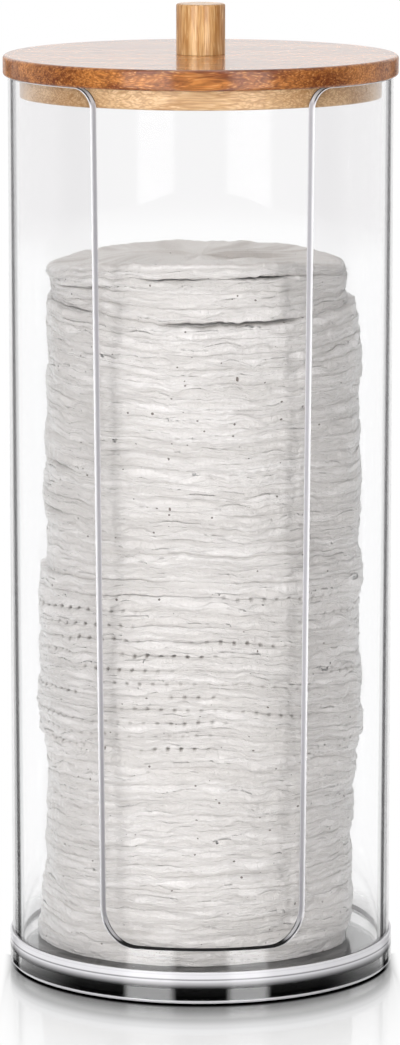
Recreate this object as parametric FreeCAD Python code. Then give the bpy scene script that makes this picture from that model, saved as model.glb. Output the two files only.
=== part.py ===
"""Cotton pad holder: a clear tube with an open front slot, glued on a clear base, with a
lift-off bamboo lid and a stack of round cotton pads inside.

Millimetres, +Z up. The origin is the middle of the ring that the base stands on, and the
slot faces -Y.
"""
import FreeCAD, Part
import math
import os

from FreeCAD import Vector

# Cotton pads: they lie in three packs, lowest first, and the bore is sized to take them.
PAD_RADIUS = 32.0
PAD_PITCH = 2.96
PAD_GAP = 0.06
PAD_EDGE_ROUND = 1.15
PAD_SCATTER = 0.35
# The packs, lowest first: how many pads each has, how much wider they are than PAD_RADIUS,
# and how far the pack stands off the axis in X and in Y.
PACK_COUNTS = (14, 12, 22)
PACK_EXTRA_RADII = (0.0, 0.7, 0.0)
PACK_SHIFTS_X = (-1.1, -0.4, 0.3)
PACK_SHIFTS_Y = (0.3, -0.2, 0.1)
SCATTER_TURN_DEG = 137.5

# Tube
PAD_ROOM = 5.0
TUBE_WALL = 2.0
HEADROOM = 31.0

# Front slot, measured on the outside of the tube
SLOT_SILL = 5.0
SLOT_WIDTH_TOP = 43.8
SLOT_WIDTH_BOTTOM = 40.6
SLOT_CORNER = 7.5
SLOT_FLARE = 4.5

# Base: a floor plate on a skirt, with a low lip round the tube
FLOOR_HEIGHT = 6.0
FLOOR_THICK = 2.2
SEAT_DEPTH = 1.4
LIP_PROUD = 0.5
LIP_RISE = 0.5
LIP_ROUND = 0.2
SKIRT_WALL = 2.0
SKIRT_FILLET = 0.8
FOOT_CHAMFER = 0.4
SPIGOT_CHAMFER = 0.3
GLUE_GAP = 0.05

# Lid: a bamboo disc with a bamboo plug glued under it
LID_OVERHANG = 1.0
LID_THICK = 4.15
LID_ROUND = 0.7
PLUG_THICK = 4.05
PLUG_ROOM = 0.4
PLUG_ROUND = 0.5

# Knob and the countersunk wood screw that holds it from below
KNOB_RADIUS = 4.95
KNOB_HEIGHT = 10.2
KNOB_ROUND = 0.4
SCREW_LENGTH = 16.0
SCREW_ROOT_RADIUS = 1.1
SCREW_THREAD_DEPTH = 0.4
SCREW_THREAD_PITCH = 1.3
SCREW_THREADED = 7.0
SCREW_TIP = 1.2
SCREW_HEAD_RADIUS = 3.0
SCREW_SUNK = 0.3
SCREW_ROOM = 0.2
RECESS_WIDTH = 0.9
RECESS_SPAN = 3.4
RECESS_DEPTH = 1.1
PILOT_BITE = 0.25
PILOT_SPARE = 0.6

# How far a cutting shape runs past what it cuts
CUT_PAST = 2.0
# A quarter turn drawn as one cubic curve has its handles at this share of the radius.
QUARTER_HANDLE = 0.5523

# Worked-out sizes
BORE_RADIUS = PAD_RADIUS + PAD_ROOM
TUBE_RADIUS = BORE_RADIUS + TUBE_WALL
BASE_RADIUS = TUBE_RADIUS + LIP_PROUD
LID_RADIUS = TUBE_RADIUS + LID_OVERHANG
PLUG_RADIUS = BORE_RADIUS - PLUG_ROOM
SEAT_HEIGHT = FLOOR_HEIGHT - SEAT_DEPTH
LIP_HEIGHT = FLOOR_HEIGHT + LIP_RISE
STACK_TOP = FLOOR_HEIGHT + PAD_PITCH * sum(PACK_COUNTS)
PLUG_BOTTOM = STACK_TOP + HEADROOM
RIM_HEIGHT = PLUG_BOTTOM + PLUG_THICK
LID_TOP = RIM_HEIGHT + LID_THICK
SCREW_CREST_RADIUS = SCREW_ROOT_RADIUS + SCREW_THREAD_DEPTH
SCREW_HEAD_BOTTOM = PLUG_BOTTOM + SCREW_SUNK
SCREW_END = SCREW_HEAD_BOTTOM + SCREW_LENGTH
SCREW_HOLE_RADIUS = SCREW_CREST_RADIUS + SCREW_ROOM
PILOT_RADIUS = SCREW_CREST_RADIUS - PILOT_BITE


def revolved(points):
    """A solid of revolution about Z from a closed outline of (radius, height) points.

    A point given as ("arc", through, end) is reached by an arc through the point before it.
    """
    edges = []
    start = Vector(points[0][0], 0, points[0][1])
    here = start
    for point in points[1:]:
        if point[0] == "arc":
            through = Vector(point[1][0], 0, point[1][1])
            there = Vector(point[2][0], 0, point[2][1])
            edges.append(Part.Arc(here, through, there).toShape())
        else:
            there = Vector(point[0], 0, point[1])
            edges.append(Part.makeLine(here, there))
        here = there
    edges.append(Part.makeLine(here, start))
    face = Part.Face(Part.Wire(edges))
    return face.revolve(Vector(0, 0, 0), Vector(0, 0, 1), 360)


def corner(centre, radius, from_deg, to_deg):
    """An arc entry for revolved(): a round corner about a (radius, height) centre."""
    middle = math.radians((from_deg + to_deg) / 2)
    end = math.radians(to_deg)
    return (
        "arc",
        (centre[0] + radius * math.cos(middle), centre[1] + radius * math.sin(middle)),
        (centre[0] + radius * math.cos(end), centre[1] + radius * math.sin(end)),
    )


def cylinder(radius, bottom, top):
    """An upright cylinder on the main axis."""
    return Part.makeCylinder(radius, top - bottom, Vector(0, 0, bottom))


def cone(bottom_radius, top_radius, bottom, top):
    """An upright cone frustum on the main axis."""
    return Part.makeCone(bottom_radius, top_radius, top - bottom, Vector(0, 0, bottom))


def base():
    """The clear base: floor plate, skirt, spigot inside the tube and lip outside it."""
    under = FLOOR_HEIGHT - FLOOR_THICK
    skirt_inner = BASE_RADIUS - SKIRT_WALL
    lip_inner = TUBE_RADIUS + GLUE_GAP
    spigot = BORE_RADIUS - GLUE_GAP
    lip_round = min(LIP_ROUND, 0.45 * (BASE_RADIUS - lip_inner))
    return revolved([
        (0, under),
        (skirt_inner - SKIRT_FILLET, under),
        corner((skirt_inner - SKIRT_FILLET, under - SKIRT_FILLET), SKIRT_FILLET, 90, 0),
        (skirt_inner, 0),
        (BASE_RADIUS - FOOT_CHAMFER, 0),
        (BASE_RADIUS, FOOT_CHAMFER),
        (BASE_RADIUS, LIP_HEIGHT - lip_round),
        corner((BASE_RADIUS - lip_round, LIP_HEIGHT - lip_round), lip_round, 0, 90),
        (lip_inner, LIP_HEIGHT),
        (lip_inner, SEAT_HEIGHT),
        (spigot, SEAT_HEIGHT),
        (spigot, FLOOR_HEIGHT - SPIGOT_CHAMFER),
        (spigot - SPIGOT_CHAMFER, FLOOR_HEIGHT),
        (0, FLOOR_HEIGHT),
    ])


def slot_outline(distance):
    """The slot's closed outline on the plane Y = -distance.

    Every width is an angle about the tube's axis, so outlines at two distances, joined by
    straight lines, cut the wall squarely, along its radii.
    """
    sill = FLOOR_HEIGHT + SLOT_SILL
    top_angle = math.asin(SLOT_WIDTH_TOP / 2 / TUBE_RADIUS)
    bottom_angle = math.asin(SLOT_WIDTH_BOTTOM / 2 / TUBE_RADIUS)
    corner_angle = SLOT_CORNER / TUBE_RADIUS
    flare_angle = SLOT_FLARE / TUBE_RADIUS

    def side_angle(z):
        return bottom_angle + (top_angle - bottom_angle) * (z - sill) / (RIM_HEIGHT - sill)

    def at(angle, z, side):
        return Vector(side * distance * math.tan(angle), -distance, z)

    def quarter(first, turn, last):
        near = first + (turn - first) * QUARTER_HANDLE
        far = last + (turn - last) * QUARTER_HANDLE
        curve = Part.BezierCurve()
        curve.setPoles([first, near, far, last])
        return curve.toShape()

    def half(side):
        low = sill + SLOT_CORNER
        high = RIM_HEIGHT - SLOT_FLARE
        flat_end = at(side_angle(low) - corner_angle, sill, side)
        side_low = at(side_angle(low), low, side)
        side_high = at(side_angle(high), high, side)
        rim = at(side_angle(high) + flare_angle, RIM_HEIGHT, side)
        above = at(side_angle(high) + flare_angle, RIM_HEIGHT + CUT_PAST, side)
        return [
            Part.makeLine(at(0, sill, side), flat_end),
            quarter(flat_end, at(side_angle(low), sill, side), side_low),
            Part.makeLine(side_low, side_high),
            quarter(side_high, at(side_angle(high), RIM_HEIGHT, side), rim),
            Part.makeLine(rim, above),
            Part.makeLine(above, at(0, RIM_HEIGHT + CUT_PAST, side)),
        ]

    return Part.Wire(Part.__sortEdges__(half(1) + half(-1)))


def tube():
    """The clear tube, standing in the base, with the slot cut out of its front wall."""
    wall = cylinder(TUBE_RADIUS, SEAT_HEIGHT, RIM_HEIGHT).cut(
        cylinder(BORE_RADIUS, SEAT_HEIGHT - CUT_PAST, RIM_HEIGHT + CUT_PAST))
    widest = math.asin(SLOT_WIDTH_TOP / 2 / TUBE_RADIUS) + SLOT_FLARE / TUBE_RADIUS
    inside = BORE_RADIUS * math.cos(widest) - CUT_PAST
    outside = TUBE_RADIUS + CUT_PAST
    cutter = Part.makeLoft([slot_outline(inside), slot_outline(outside)], True, True)
    return wall.cut(cutter)


def lid_disc():
    """The bamboo disc that lies on the rim, drilled for the knob's screw."""
    disc = revolved([
        (0, RIM_HEIGHT),
        (LID_RADIUS - LID_ROUND, RIM_HEIGHT),
        corner((LID_RADIUS - LID_ROUND, RIM_HEIGHT + LID_ROUND), LID_ROUND, -90, 0),
        (LID_RADIUS, LID_TOP - LID_ROUND),
        corner((LID_RADIUS - LID_ROUND, LID_TOP - LID_ROUND), LID_ROUND, 0, 90),
        (0, LID_TOP),
    ])
    return disc.cut(cylinder(SCREW_HOLE_RADIUS, RIM_HEIGHT - CUT_PAST, LID_TOP + CUT_PAST))


def lid_plug():
    """The bamboo plug that centres the lid in the bore, countersunk for the screw."""
    plug = revolved([
        (0, PLUG_BOTTOM),
        (PLUG_RADIUS - PLUG_ROUND, PLUG_BOTTOM),
        corner((PLUG_RADIUS - PLUG_ROUND, PLUG_BOTTOM + PLUG_ROUND), PLUG_ROUND, -90, 0),
        (PLUG_RADIUS, RIM_HEIGHT),
        (0, RIM_HEIGHT),
    ])
    mouth = SCREW_HEAD_RADIUS + SCREW_ROOM
    plug = plug.cut(cylinder(mouth, PLUG_BOTTOM - CUT_PAST, SCREW_HEAD_BOTTOM))
    plug = plug.cut(cone(mouth, SCREW_HOLE_RADIUS, SCREW_HEAD_BOTTOM,
                         SCREW_HEAD_BOTTOM + mouth - SCREW_HOLE_RADIUS))
    return plug.cut(cylinder(SCREW_HOLE_RADIUS, PLUG_BOTTOM, RIM_HEIGHT + CUT_PAST))


def knob():
    """The bamboo knob, a short dowel with a blind pilot hole for the screw."""
    top = LID_TOP + KNOB_HEIGHT
    body = revolved([
        (0, LID_TOP),
        (KNOB_RADIUS, LID_TOP),
        (KNOB_RADIUS, top - KNOB_ROUND),
        corner((KNOB_RADIUS - KNOB_ROUND, top - KNOB_ROUND), KNOB_ROUND, 0, 90),
        (0, top),
    ])
    return body.cut(cylinder(PILOT_RADIUS, LID_TOP - CUT_PAST, SCREW_END + PILOT_SPARE))


def knob_screw():
    """The countersunk wood screw: head down in the plug, threaded end up in the knob."""
    shank_top = SCREW_END - SCREW_TIP
    head_top = SCREW_HEAD_BOTTOM + SCREW_HEAD_RADIUS - SCREW_CREST_RADIUS
    thread_start = SCREW_END - SCREW_THREADED
    outline = [
        (0, SCREW_HEAD_BOTTOM),
        (SCREW_HEAD_RADIUS, SCREW_HEAD_BOTTOM),
        (SCREW_CREST_RADIUS, head_top),
        (SCREW_CREST_RADIUS, thread_start - SCREW_THREAD_PITCH / 2),
        (SCREW_ROOT_RADIUS, thread_start),
    ]
    turns = int((shank_top - thread_start) / SCREW_THREAD_PITCH)
    for turn in range(turns):
        low = thread_start + turn * SCREW_THREAD_PITCH
        outline.append((SCREW_CREST_RADIUS, low + SCREW_THREAD_PITCH / 2))
        outline.append((SCREW_ROOT_RADIUS, low + SCREW_THREAD_PITCH))
    if outline[-1][1] < shank_top:
        outline.append((SCREW_ROOT_RADIUS, shank_top))
    outline.append((0, SCREW_END))
    screw = revolved(outline)
    for along, across in ((RECESS_SPAN, RECESS_WIDTH), (RECESS_WIDTH, RECESS_SPAN)):
        corner_point = Vector(-along / 2, -across / 2, SCREW_HEAD_BOTTOM - CUT_PAST)
        screw = screw.cut(Part.makeBox(along, across, RECESS_DEPTH + CUT_PAST, corner_point))
    return screw


def pad(index, extra_radius, shift_x, shift_y):
    """One cotton pad, the index-th from the floor: a round cushion with a soft edge.

    Pads are scattered a little about their pack's middle, each one turned on from the last.
    """
    bottom = FLOOR_HEIGHT + index * PAD_PITCH + PAD_GAP
    top = FLOOR_HEIGHT + (index + 1) * PAD_PITCH
    radius = PAD_RADIUS + extra_radius
    edge = min(PAD_EDGE_ROUND, 0.45 * (top - bottom))
    solid = revolved([
        (0, bottom),
        (radius - edge, bottom),
        corner((radius - edge, bottom + edge), edge, -90, 0),
        (radius, top - edge),
        corner((radius - edge, top - edge), edge, 0, 90),
        (0, top),
    ])
    angle = math.radians(index * SCATTER_TURN_DEG)
    solid.translate(Vector(
        shift_x + PAD_SCATTER * math.cos(angle),
        shift_y + PAD_SCATTER * math.sin(angle),
        0,
    ))
    return solid


def pads():
    """Every pad of every pack, by node name, counted from the floor up."""
    named = {}
    packs = zip(PACK_COUNTS, PACK_EXTRA_RADII, PACK_SHIFTS_X, PACK_SHIFTS_Y)
    for count, extra_radius, shift_x, shift_y in packs:
        for _ in range(count):
            index = len(named)
            named["pad_%02d" % (index + 1)] = pad(index, extra_radius, shift_x, shift_y)
    return named


def main():
    """Build every piece and write each one to its own STEP file."""
    pieces = {
        "base": base(),
        "tube": tube(),
        "lid_disc": lid_disc(),
        "lid_plug": lid_plug(),
        "knob": knob(),
        "knob_screw": knob_screw(),
    }
    pieces.update(pads())
    os.makedirs("parts", exist_ok=True)
    for name, shape in pieces.items():
        shape.exportStep("parts/%s.step" % name)
        print(name, shape.isValid(), len(shape.Solids), round(shape.Volume, 1))


main()
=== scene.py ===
"""Looks of a cotton pad holder: clear tube and base, bamboo lid, and three packs of cotton pads.

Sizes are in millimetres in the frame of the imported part: +Z up, the slot faces -Y, the origin is
under the middle of the base. Meshes are turned into metres as they are made. An angle about the
axis is measured from the front (-Y) towards +X, so it grows anticlockwise seen from above.
"""

import logging
import math
from dataclasses import dataclass, field
from enum import Enum
from typing import Sequence

import bpy
import numpy as np
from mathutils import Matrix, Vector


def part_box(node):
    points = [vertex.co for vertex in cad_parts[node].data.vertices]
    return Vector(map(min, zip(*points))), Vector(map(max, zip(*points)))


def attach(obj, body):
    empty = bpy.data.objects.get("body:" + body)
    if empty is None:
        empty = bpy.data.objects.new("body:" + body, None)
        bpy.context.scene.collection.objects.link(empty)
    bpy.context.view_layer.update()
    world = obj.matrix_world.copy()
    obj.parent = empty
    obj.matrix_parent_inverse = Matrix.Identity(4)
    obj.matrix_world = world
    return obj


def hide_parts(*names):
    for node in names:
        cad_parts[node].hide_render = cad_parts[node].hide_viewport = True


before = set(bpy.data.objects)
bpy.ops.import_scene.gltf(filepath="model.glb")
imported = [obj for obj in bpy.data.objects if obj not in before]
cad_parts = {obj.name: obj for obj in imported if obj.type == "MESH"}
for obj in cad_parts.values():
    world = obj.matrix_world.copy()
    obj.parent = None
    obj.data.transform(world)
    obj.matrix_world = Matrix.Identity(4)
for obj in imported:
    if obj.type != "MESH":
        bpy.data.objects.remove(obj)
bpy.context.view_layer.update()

MM = 0.001
TURN = 2 * math.pi

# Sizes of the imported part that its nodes' boxes don't give
TUBE_WALL = 2.0
SLOT_SILL = 5.0
PAD_GAP = 0.06

Colour = tuple[float, float, float]
Stops = tuple[tuple[float, float], ...]
WHITE: Colour = (1.0, 1.0, 1.0)
BLACK: Colour = (0.0, 0.0, 0.0)
log = logging.getLogger("cotton_pad_holder")


# ---------------------------------------------------------------- shapes


def around(angle: np.ndarray) -> np.ndarray:
    """Unit vectors pointing out from the axis at these angles: (sin angle, -cos angle, 0)."""
    return np.stack([np.sin(angle), -np.cos(angle), np.zeros_like(angle)], axis=-1)


def along(angle: np.ndarray) -> np.ndarray:
    """Unit vectors along the circle, the way the angle grows: (cos angle, sin angle, 0)."""
    return np.stack([np.cos(angle), np.sin(angle), np.zeros_like(angle)], axis=-1)


def smooth_step(low: float, high: float, value: np.ndarray) -> np.ndarray:
    """0 below low, 1 above high, and 3t^2 - 2t^3 between them."""
    share = np.clip((value - low) / (high - low), 0, 1)
    return share * share * (3 - 2 * share)


@dataclass(frozen=True)
class Profile:
    """A smooth outline in the half-plane (radius, height), with its outward normal at each point."""

    points: np.ndarray
    normals: np.ndarray
    closed: bool


def filleted(corners: Sequence[tuple[float, float, float]], closed: bool, steps: int = 6) -> Profile:
    """Rounds each corner of an outline with an arc that touches both of its edges.

    With the edges' unit directions a (coming in) and b (going out), turning by an angle t, the arc
    starts r * tan(t / 2) before the corner, and its points are its centre plus r times the normal,
    which turns evenly from one edge's normal to the other's. The outside is on the right of travel.

    Args:
        corners: (radius, height, fillet) in order, walked with the solid on the left.
        closed: whether the last corner joins the first. The ends of an open outline stay sharp.
        steps: how many spans each arc has.

    Returns:
        The rounded outline.
    """
    places = np.array([c[:2] for c in corners], float)
    count = len(corners)
    points, normals = [], []
    for i, (_, _, fillet) in enumerate(corners):
        here = places[i]
        into = here - places[i - 1]
        out = places[(i + 1) % count] - here
        into, out = into / np.hypot(*into), out / np.hypot(*out)
        if not closed and i in (0, count - 1):
            edge = out if i == 0 else into
            points.append(here[None])
            normals.append(np.array([[edge[1], -edge[0]]]))
            continue
        turn = math.atan2(into[0] * out[1] - into[1] * out[0], float(into @ out))
        start = here - into * fillet * abs(math.tan(turn / 2))
        side = math.copysign(1.0, turn)
        heading = math.atan2(into[1], into[0]) + turn * np.linspace(0, 1, steps + 1)
        normal = np.stack([np.sin(heading), -np.cos(heading)], axis=1)
        points.append(start + side * fillet * (normal - normal[0]))
        normals.append(normal)
    return Profile(np.concatenate(points), np.concatenate(normals), closed)


class Surface:
    """A closed mesh in the making: its places and normals in millimetres, and its faces."""

    def __init__(self) -> None:
        """Starts with no vertices."""
        self.count = 0
        self.points: list[np.ndarray] = []
        self.normals: list[np.ndarray] = []
        self.quads: list[np.ndarray] = []
        self.triangles: list[np.ndarray] = []
        self.fields: dict[str, list[np.ndarray]] = {}

    def add(self, points: np.ndarray, normals: np.ndarray, **fields: np.ndarray) -> np.ndarray:
        """Adds vertices.

        Args:
            points: their places, an array whose last axis is x, y, z.
            normals: their outward normals, of the same shape.
            **fields: named numbers, one for each vertex, kept as point attributes.

        Returns:
            The vertices' numbers, shaped as the places are.
        """
        shape = points.shape[:-1]
        size = int(np.prod(shape))
        self.points.append(points.reshape(-1, 3))
        self.normals.append(normals.reshape(-1, 3))
        for name, values in fields.items():
            spread = np.broadcast_to(values, shape).reshape(-1)
            self.fields.setdefault(name, []).append(spread)
        numbers = np.arange(self.count, self.count + size).reshape(shape)
        self.count += size
        return numbers

    def skin(self, grid: np.ndarray, wrap_columns: bool = False, wrap_rows: bool = False,
             flip: bool = False) -> None:
        """Covers a grid of vertex numbers with quads that face along (columns) x (rows).

        Args:
            grid: vertex numbers, one row for each step across and one column for each step round.
            wrap_columns: whether the last column joins the first.
            wrap_rows: whether the last row joins the first.
            flip: turns the quads over.
        """
        if wrap_columns:
            grid = np.concatenate([grid, grid[:, :1]], axis=1)
        if wrap_rows:
            grid = np.concatenate([grid, grid[:1]], axis=0)
        faces = np.stack([grid[:-1, :-1], grid[:-1, 1:], grid[1:, 1:], grid[1:, :-1]], axis=-1)
        faces = faces.reshape(-1, 4)
        self.quads.append(faces[:, ::-1] if flip else faces)

    def fan(self, tip: int, ring: np.ndarray, flip: bool = False) -> None:
        """Closes a ring of vertices to one tip. Unflipped, it faces away from the axis' foot."""
        faces = np.stack([np.full(len(ring), tip), ring, np.roll(ring, -1)], axis=-1)
        self.triangles.append(faces[:, ::-1] if flip else faces)

    def lathe(self, profile: Profile, segments: int) -> None:
        """Turns an outline about the axis: (r sin a, -r cos a, z) for every angle a round it.

        Args:
            profile: the outline. An end of it on the axis is closed with a fan of triangles.
            segments: how many steps one turn has.
        """
        radius, height = profile.points[:, 0], profile.points[:, 1]
        angle = TURN * np.arange(segments) / segments
        on_axis = radius < 1e-9
        rows = np.nonzero(~on_axis)[0]
        out = around(angle)[None]
        up = np.array([0.0, 0.0, 1.0])
        points = out * radius[rows, None, None] + up * height[rows, None, None]
        normals = out * profile.normals[rows, 0, None, None] + up * profile.normals[rows, 1, None, None]
        grid = self.add(points, normals)
        self.skin(grid, wrap_columns=True, wrap_rows=profile.closed)
        for end, ring, flip in ((0, grid[0], True), (-1, grid[-1], False)):
            if on_axis[end]:
                tip = self.add(up * height[end], up * math.copysign(1.0, profile.normals[end, 1]))
                self.fan(int(tip), ring, flip)

    def piece(self, name: str, material: bpy.types.Material) -> bpy.types.Object:
        """Makes the mesh object, in metres, with its normals as given.

        Args:
            name: the object's name.
            material: its one material.

        Returns:
            The object, linked to the scene and standing at the origin.
        """
        points = np.concatenate(self.points) * MM
        quads = np.concatenate(self.quads) if self.quads else np.zeros((0, 4), int)
        triangles = np.concatenate(self.triangles) if self.triangles else np.zeros((0, 3), int)
        corners = np.concatenate([quads.ravel(), triangles.ravel()]).astype(np.int32)
        starts = np.concatenate([
            np.arange(len(quads)) * 4,
            len(quads) * 4 + np.arange(len(triangles)) * 3,
        ]).astype(np.int32)
        mesh = bpy.data.meshes.new(name)
        mesh.vertices.add(len(points))
        mesh.vertices.foreach_set("co", points.astype(np.float32).ravel())
        mesh.loops.add(len(corners))
        mesh.loops.foreach_set("vertex_index", corners)
        mesh.polygons.add(len(starts))
        mesh.polygons.foreach_set("loop_start", starts)
        mesh.update(calc_edges=True)
        mesh.shade_smooth()
        for label, values in self.fields.items():
            layer = mesh.attributes.new(label, "FLOAT", "POINT")
            layer.data.foreach_set("value", np.concatenate(values).astype(np.float32))
        normals = np.concatenate(self.normals)
        if np.isfinite(normals).all():
            mesh.normals_split_custom_set_from_vertices(normals)
        mesh.materials.append(material)
        made = bpy.data.objects.new(name, mesh)
        bpy.context.scene.collection.objects.link(made)
        return made


@dataclass
class RingNoise:
    """Seeded noise that closes on itself round the axis and may run on from row to row."""

    rows: int
    columns: int
    seed: int

    def make(self, first: int, last: int, fall: float, run_on: float, salt: int) -> np.ndarray:
        """Adds up waves with random phases.

        Each row is a sum over m = first..last waves round the circle, with random complex weights
        that fall as m to the power -fall. The weights are blurred over neighbouring rows with a
        Gaussian of width run_on. The whole is scaled to a root mean square of 1.

        Args:
            first: waves round the circle of the longest wave.
            last: waves round the circle of the shortest one.
            fall: how fast the weights fall.
            run_on: over how many rows the pattern stays alike; 0 makes rows independent.
            salt: makes this pattern different from the others of the same seed.

        Returns:
            An array of rows by columns.
        """
        source = np.random.default_rng([self.seed, salt])
        waves = np.arange(first, last + 1)
        weights = source.normal(size=(self.rows, len(waves), 2)) @ np.array([1, 1j])
        if run_on > 0:
            step = np.arange(self.rows)
            blur = np.exp(-((step[:, None] - step[None]) ** 2) / (2 * run_on ** 2))
            weights = (blur / np.sqrt((blur ** 2).sum(1, keepdims=True))) @ weights
        spectrum = np.zeros((self.rows, self.columns // 2 + 1), complex)
        spectrum[:, first:last + 1] = weights * waves ** -fall
        noise = np.fft.irfft(spectrum, n=self.columns, axis=1)
        return noise / np.sqrt((noise ** 2).mean())


# ---------------------------------------------------------------- materials


class Wiring:
    """Adds nodes to a node tree. An input that is a socket is linked, and any other is set."""

    def __init__(self, tree: bpy.types.NodeTree) -> None:
        """Works on this tree."""
        self.tree = tree

    def add(self, kind: str, inputs: dict | None = None, **settings: object) -> bpy.types.Node:
        """Adds one node.

        Args:
            kind: the node's type without its ShaderNode prefix.
            inputs: what goes into its sockets, by name or number.
            **settings: the node's own properties.

        Returns:
            The node.
        """
        node = self.tree.nodes.new("ShaderNode" + kind)
        for name, value in settings.items():
            setattr(node, name, value)
        for key, value in (inputs or {}).items():
            if isinstance(value, bpy.types.NodeSocket):
                self.tree.links.new(value, node.inputs[key])
            else:
                node.inputs[key].default_value = value
        return node

    def maths(self, operation: str, *values: object, clamp: bool = False) -> bpy.types.NodeSocket:
        """One sum, product or other operation on numbers."""
        node = self.add("Math", dict(enumerate(values)), operation=operation, use_clamp=clamp)
        return node.outputs[0]

    def vector(self, operation: str, *values: object) -> bpy.types.NodeSocket:
        """One operation on vectors."""
        node = self.add("VectorMath", dict(enumerate(values)), operation=operation)
        return node.outputs[0]

    def scaled(self, vector: object, scale: tuple[float, float, float]) -> bpy.types.NodeSocket:
        """A vector with each of its parts multiplied by its own number."""
        return self.vector("MULTIPLY", vector, scale)

    def mix(self, share: object, first: object, second: object) -> bpy.types.NodeSocket:
        """One colour mixed with another."""
        return self.add("Mix", {0: share, 6: first, 7: second}, data_type="RGBA").outputs[2]

    def grey(self, level: object) -> bpy.types.NodeSocket:
        """A grey of this level."""
        return self.add("CombineColor", {0: level, 1: level, 2: level}).outputs[0]

    def attribute(self, name: str) -> bpy.types.NodeSocket:
        """A number kept in the mesh at each of its points."""
        return self.add("Attribute", attribute_name=name).outputs["Fac"]

    def ramp(self, value: object, low: float, high: float, start: float = 0.0, end: float = 1.0,
             smooth: bool = True) -> bpy.types.NodeSocket:
        """A number taken from low..high to start..end and held at those ends."""
        node = self.add("MapRange", {0: value, 1: low, 2: high, 3: start, 4: end},
                        interpolation_type="SMOOTHSTEP" if smooth else "LINEAR")
        return node.outputs[0]

    def steps(self, value: object, stops: Stops) -> bpy.types.NodeSocket:
        """A number read off a line through (millimetres, height) points, from a value in metres.

        Args:
            value: the socket to read.
            stops: the points, in order.

        Returns:
            The number's socket.
        """
        low, high = stops[0][0], stops[-1][0]
        share = self.ramp(value, low * MM, high * MM, smooth=False)
        node = self.add("ValToRGB", {0: share})
        elements = node.color_ramp.elements
        for number, (place, level) in enumerate(stops):
            at = (place - low) / (high - low)
            stop = elements[number] if number < 2 else elements.new(at)
            stop.position = at
            stop.color = (level, level, level, 1.0)
        return node.outputs["Color"]

    def noise(self, vector: object, scale: float, detail: float = 2.0, rough: float = 0.5,
              colour: bool = False) -> bpy.types.NodeSocket:
        """Fractal noise on a vector."""
        inputs = {"Vector": vector, "Scale": scale, "Detail": detail, "Roughness": rough}
        node = self.add("TexNoise", inputs)
        return node.outputs["Color" if colour else "Fac"]

    def cells(self, vector: object, scale: float) -> bpy.types.Node:
        """Cells round scattered points: the distance to the nearest and its random colour."""
        return self.add("TexVoronoi", {"Vector": vector, "Scale": scale})

    def bump(self, height: object, strength: float, distance_mm: float) -> bpy.types.NodeSocket:
        """A normal bent by a height."""
        inputs = {"Height": height, "Strength": strength, "Distance": distance_mm * MM}
        return self.add("Bump", inputs).outputs[0]


def new_material(name: str) -> tuple[bpy.types.Material, Wiring, bpy.types.Node]:
    """An empty node material.

    Args:
        name: the material's name.

    Returns:
        The material, its wiring and its output node.
    """
    material = bpy.data.materials.new(name)
    material.use_nodes = True
    material.node_tree.nodes.clear()
    wiring = Wiring(material.node_tree)
    return material, wiring, wiring.add("OutputMaterial")


def new_group(
    name: str, inputs: Sequence[tuple[str, str]], outputs: Sequence[tuple[str, str]]
) -> tuple[bpy.types.NodeTree, Wiring, bpy.types.Node, bpy.types.Node]:
    """An empty shader node group with named sockets.

    Args:
        name: the group's name.
        inputs: (name, kind) of each input, where kind is Float, Color or Vector.
        outputs: the same for each output.

    Returns:
        The group, its wiring, and its input and output nodes.
    """
    group = bpy.data.node_groups.new(name, "ShaderNodeTree")
    for sockets, way in ((inputs, "INPUT"), (outputs, "OUTPUT")):
        for label, kind in sockets:
            group.interface.new_socket(label, in_out=way, socket_type="NodeSocket" + kind)
    source = group.nodes.new("NodeGroupInput")
    sink = group.nodes.new("NodeGroupOutput")
    return group, Wiring(group), source, sink


def rgba(colour: Colour) -> tuple[float, float, float, float]:
    """A linear colour with full alpha."""
    return (*colour, 1.0)


class Grain(Enum):
    """Which way the fibres of a bamboo piece run."""

    ALONG_X = "x"
    UPRIGHT = "z"


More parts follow.
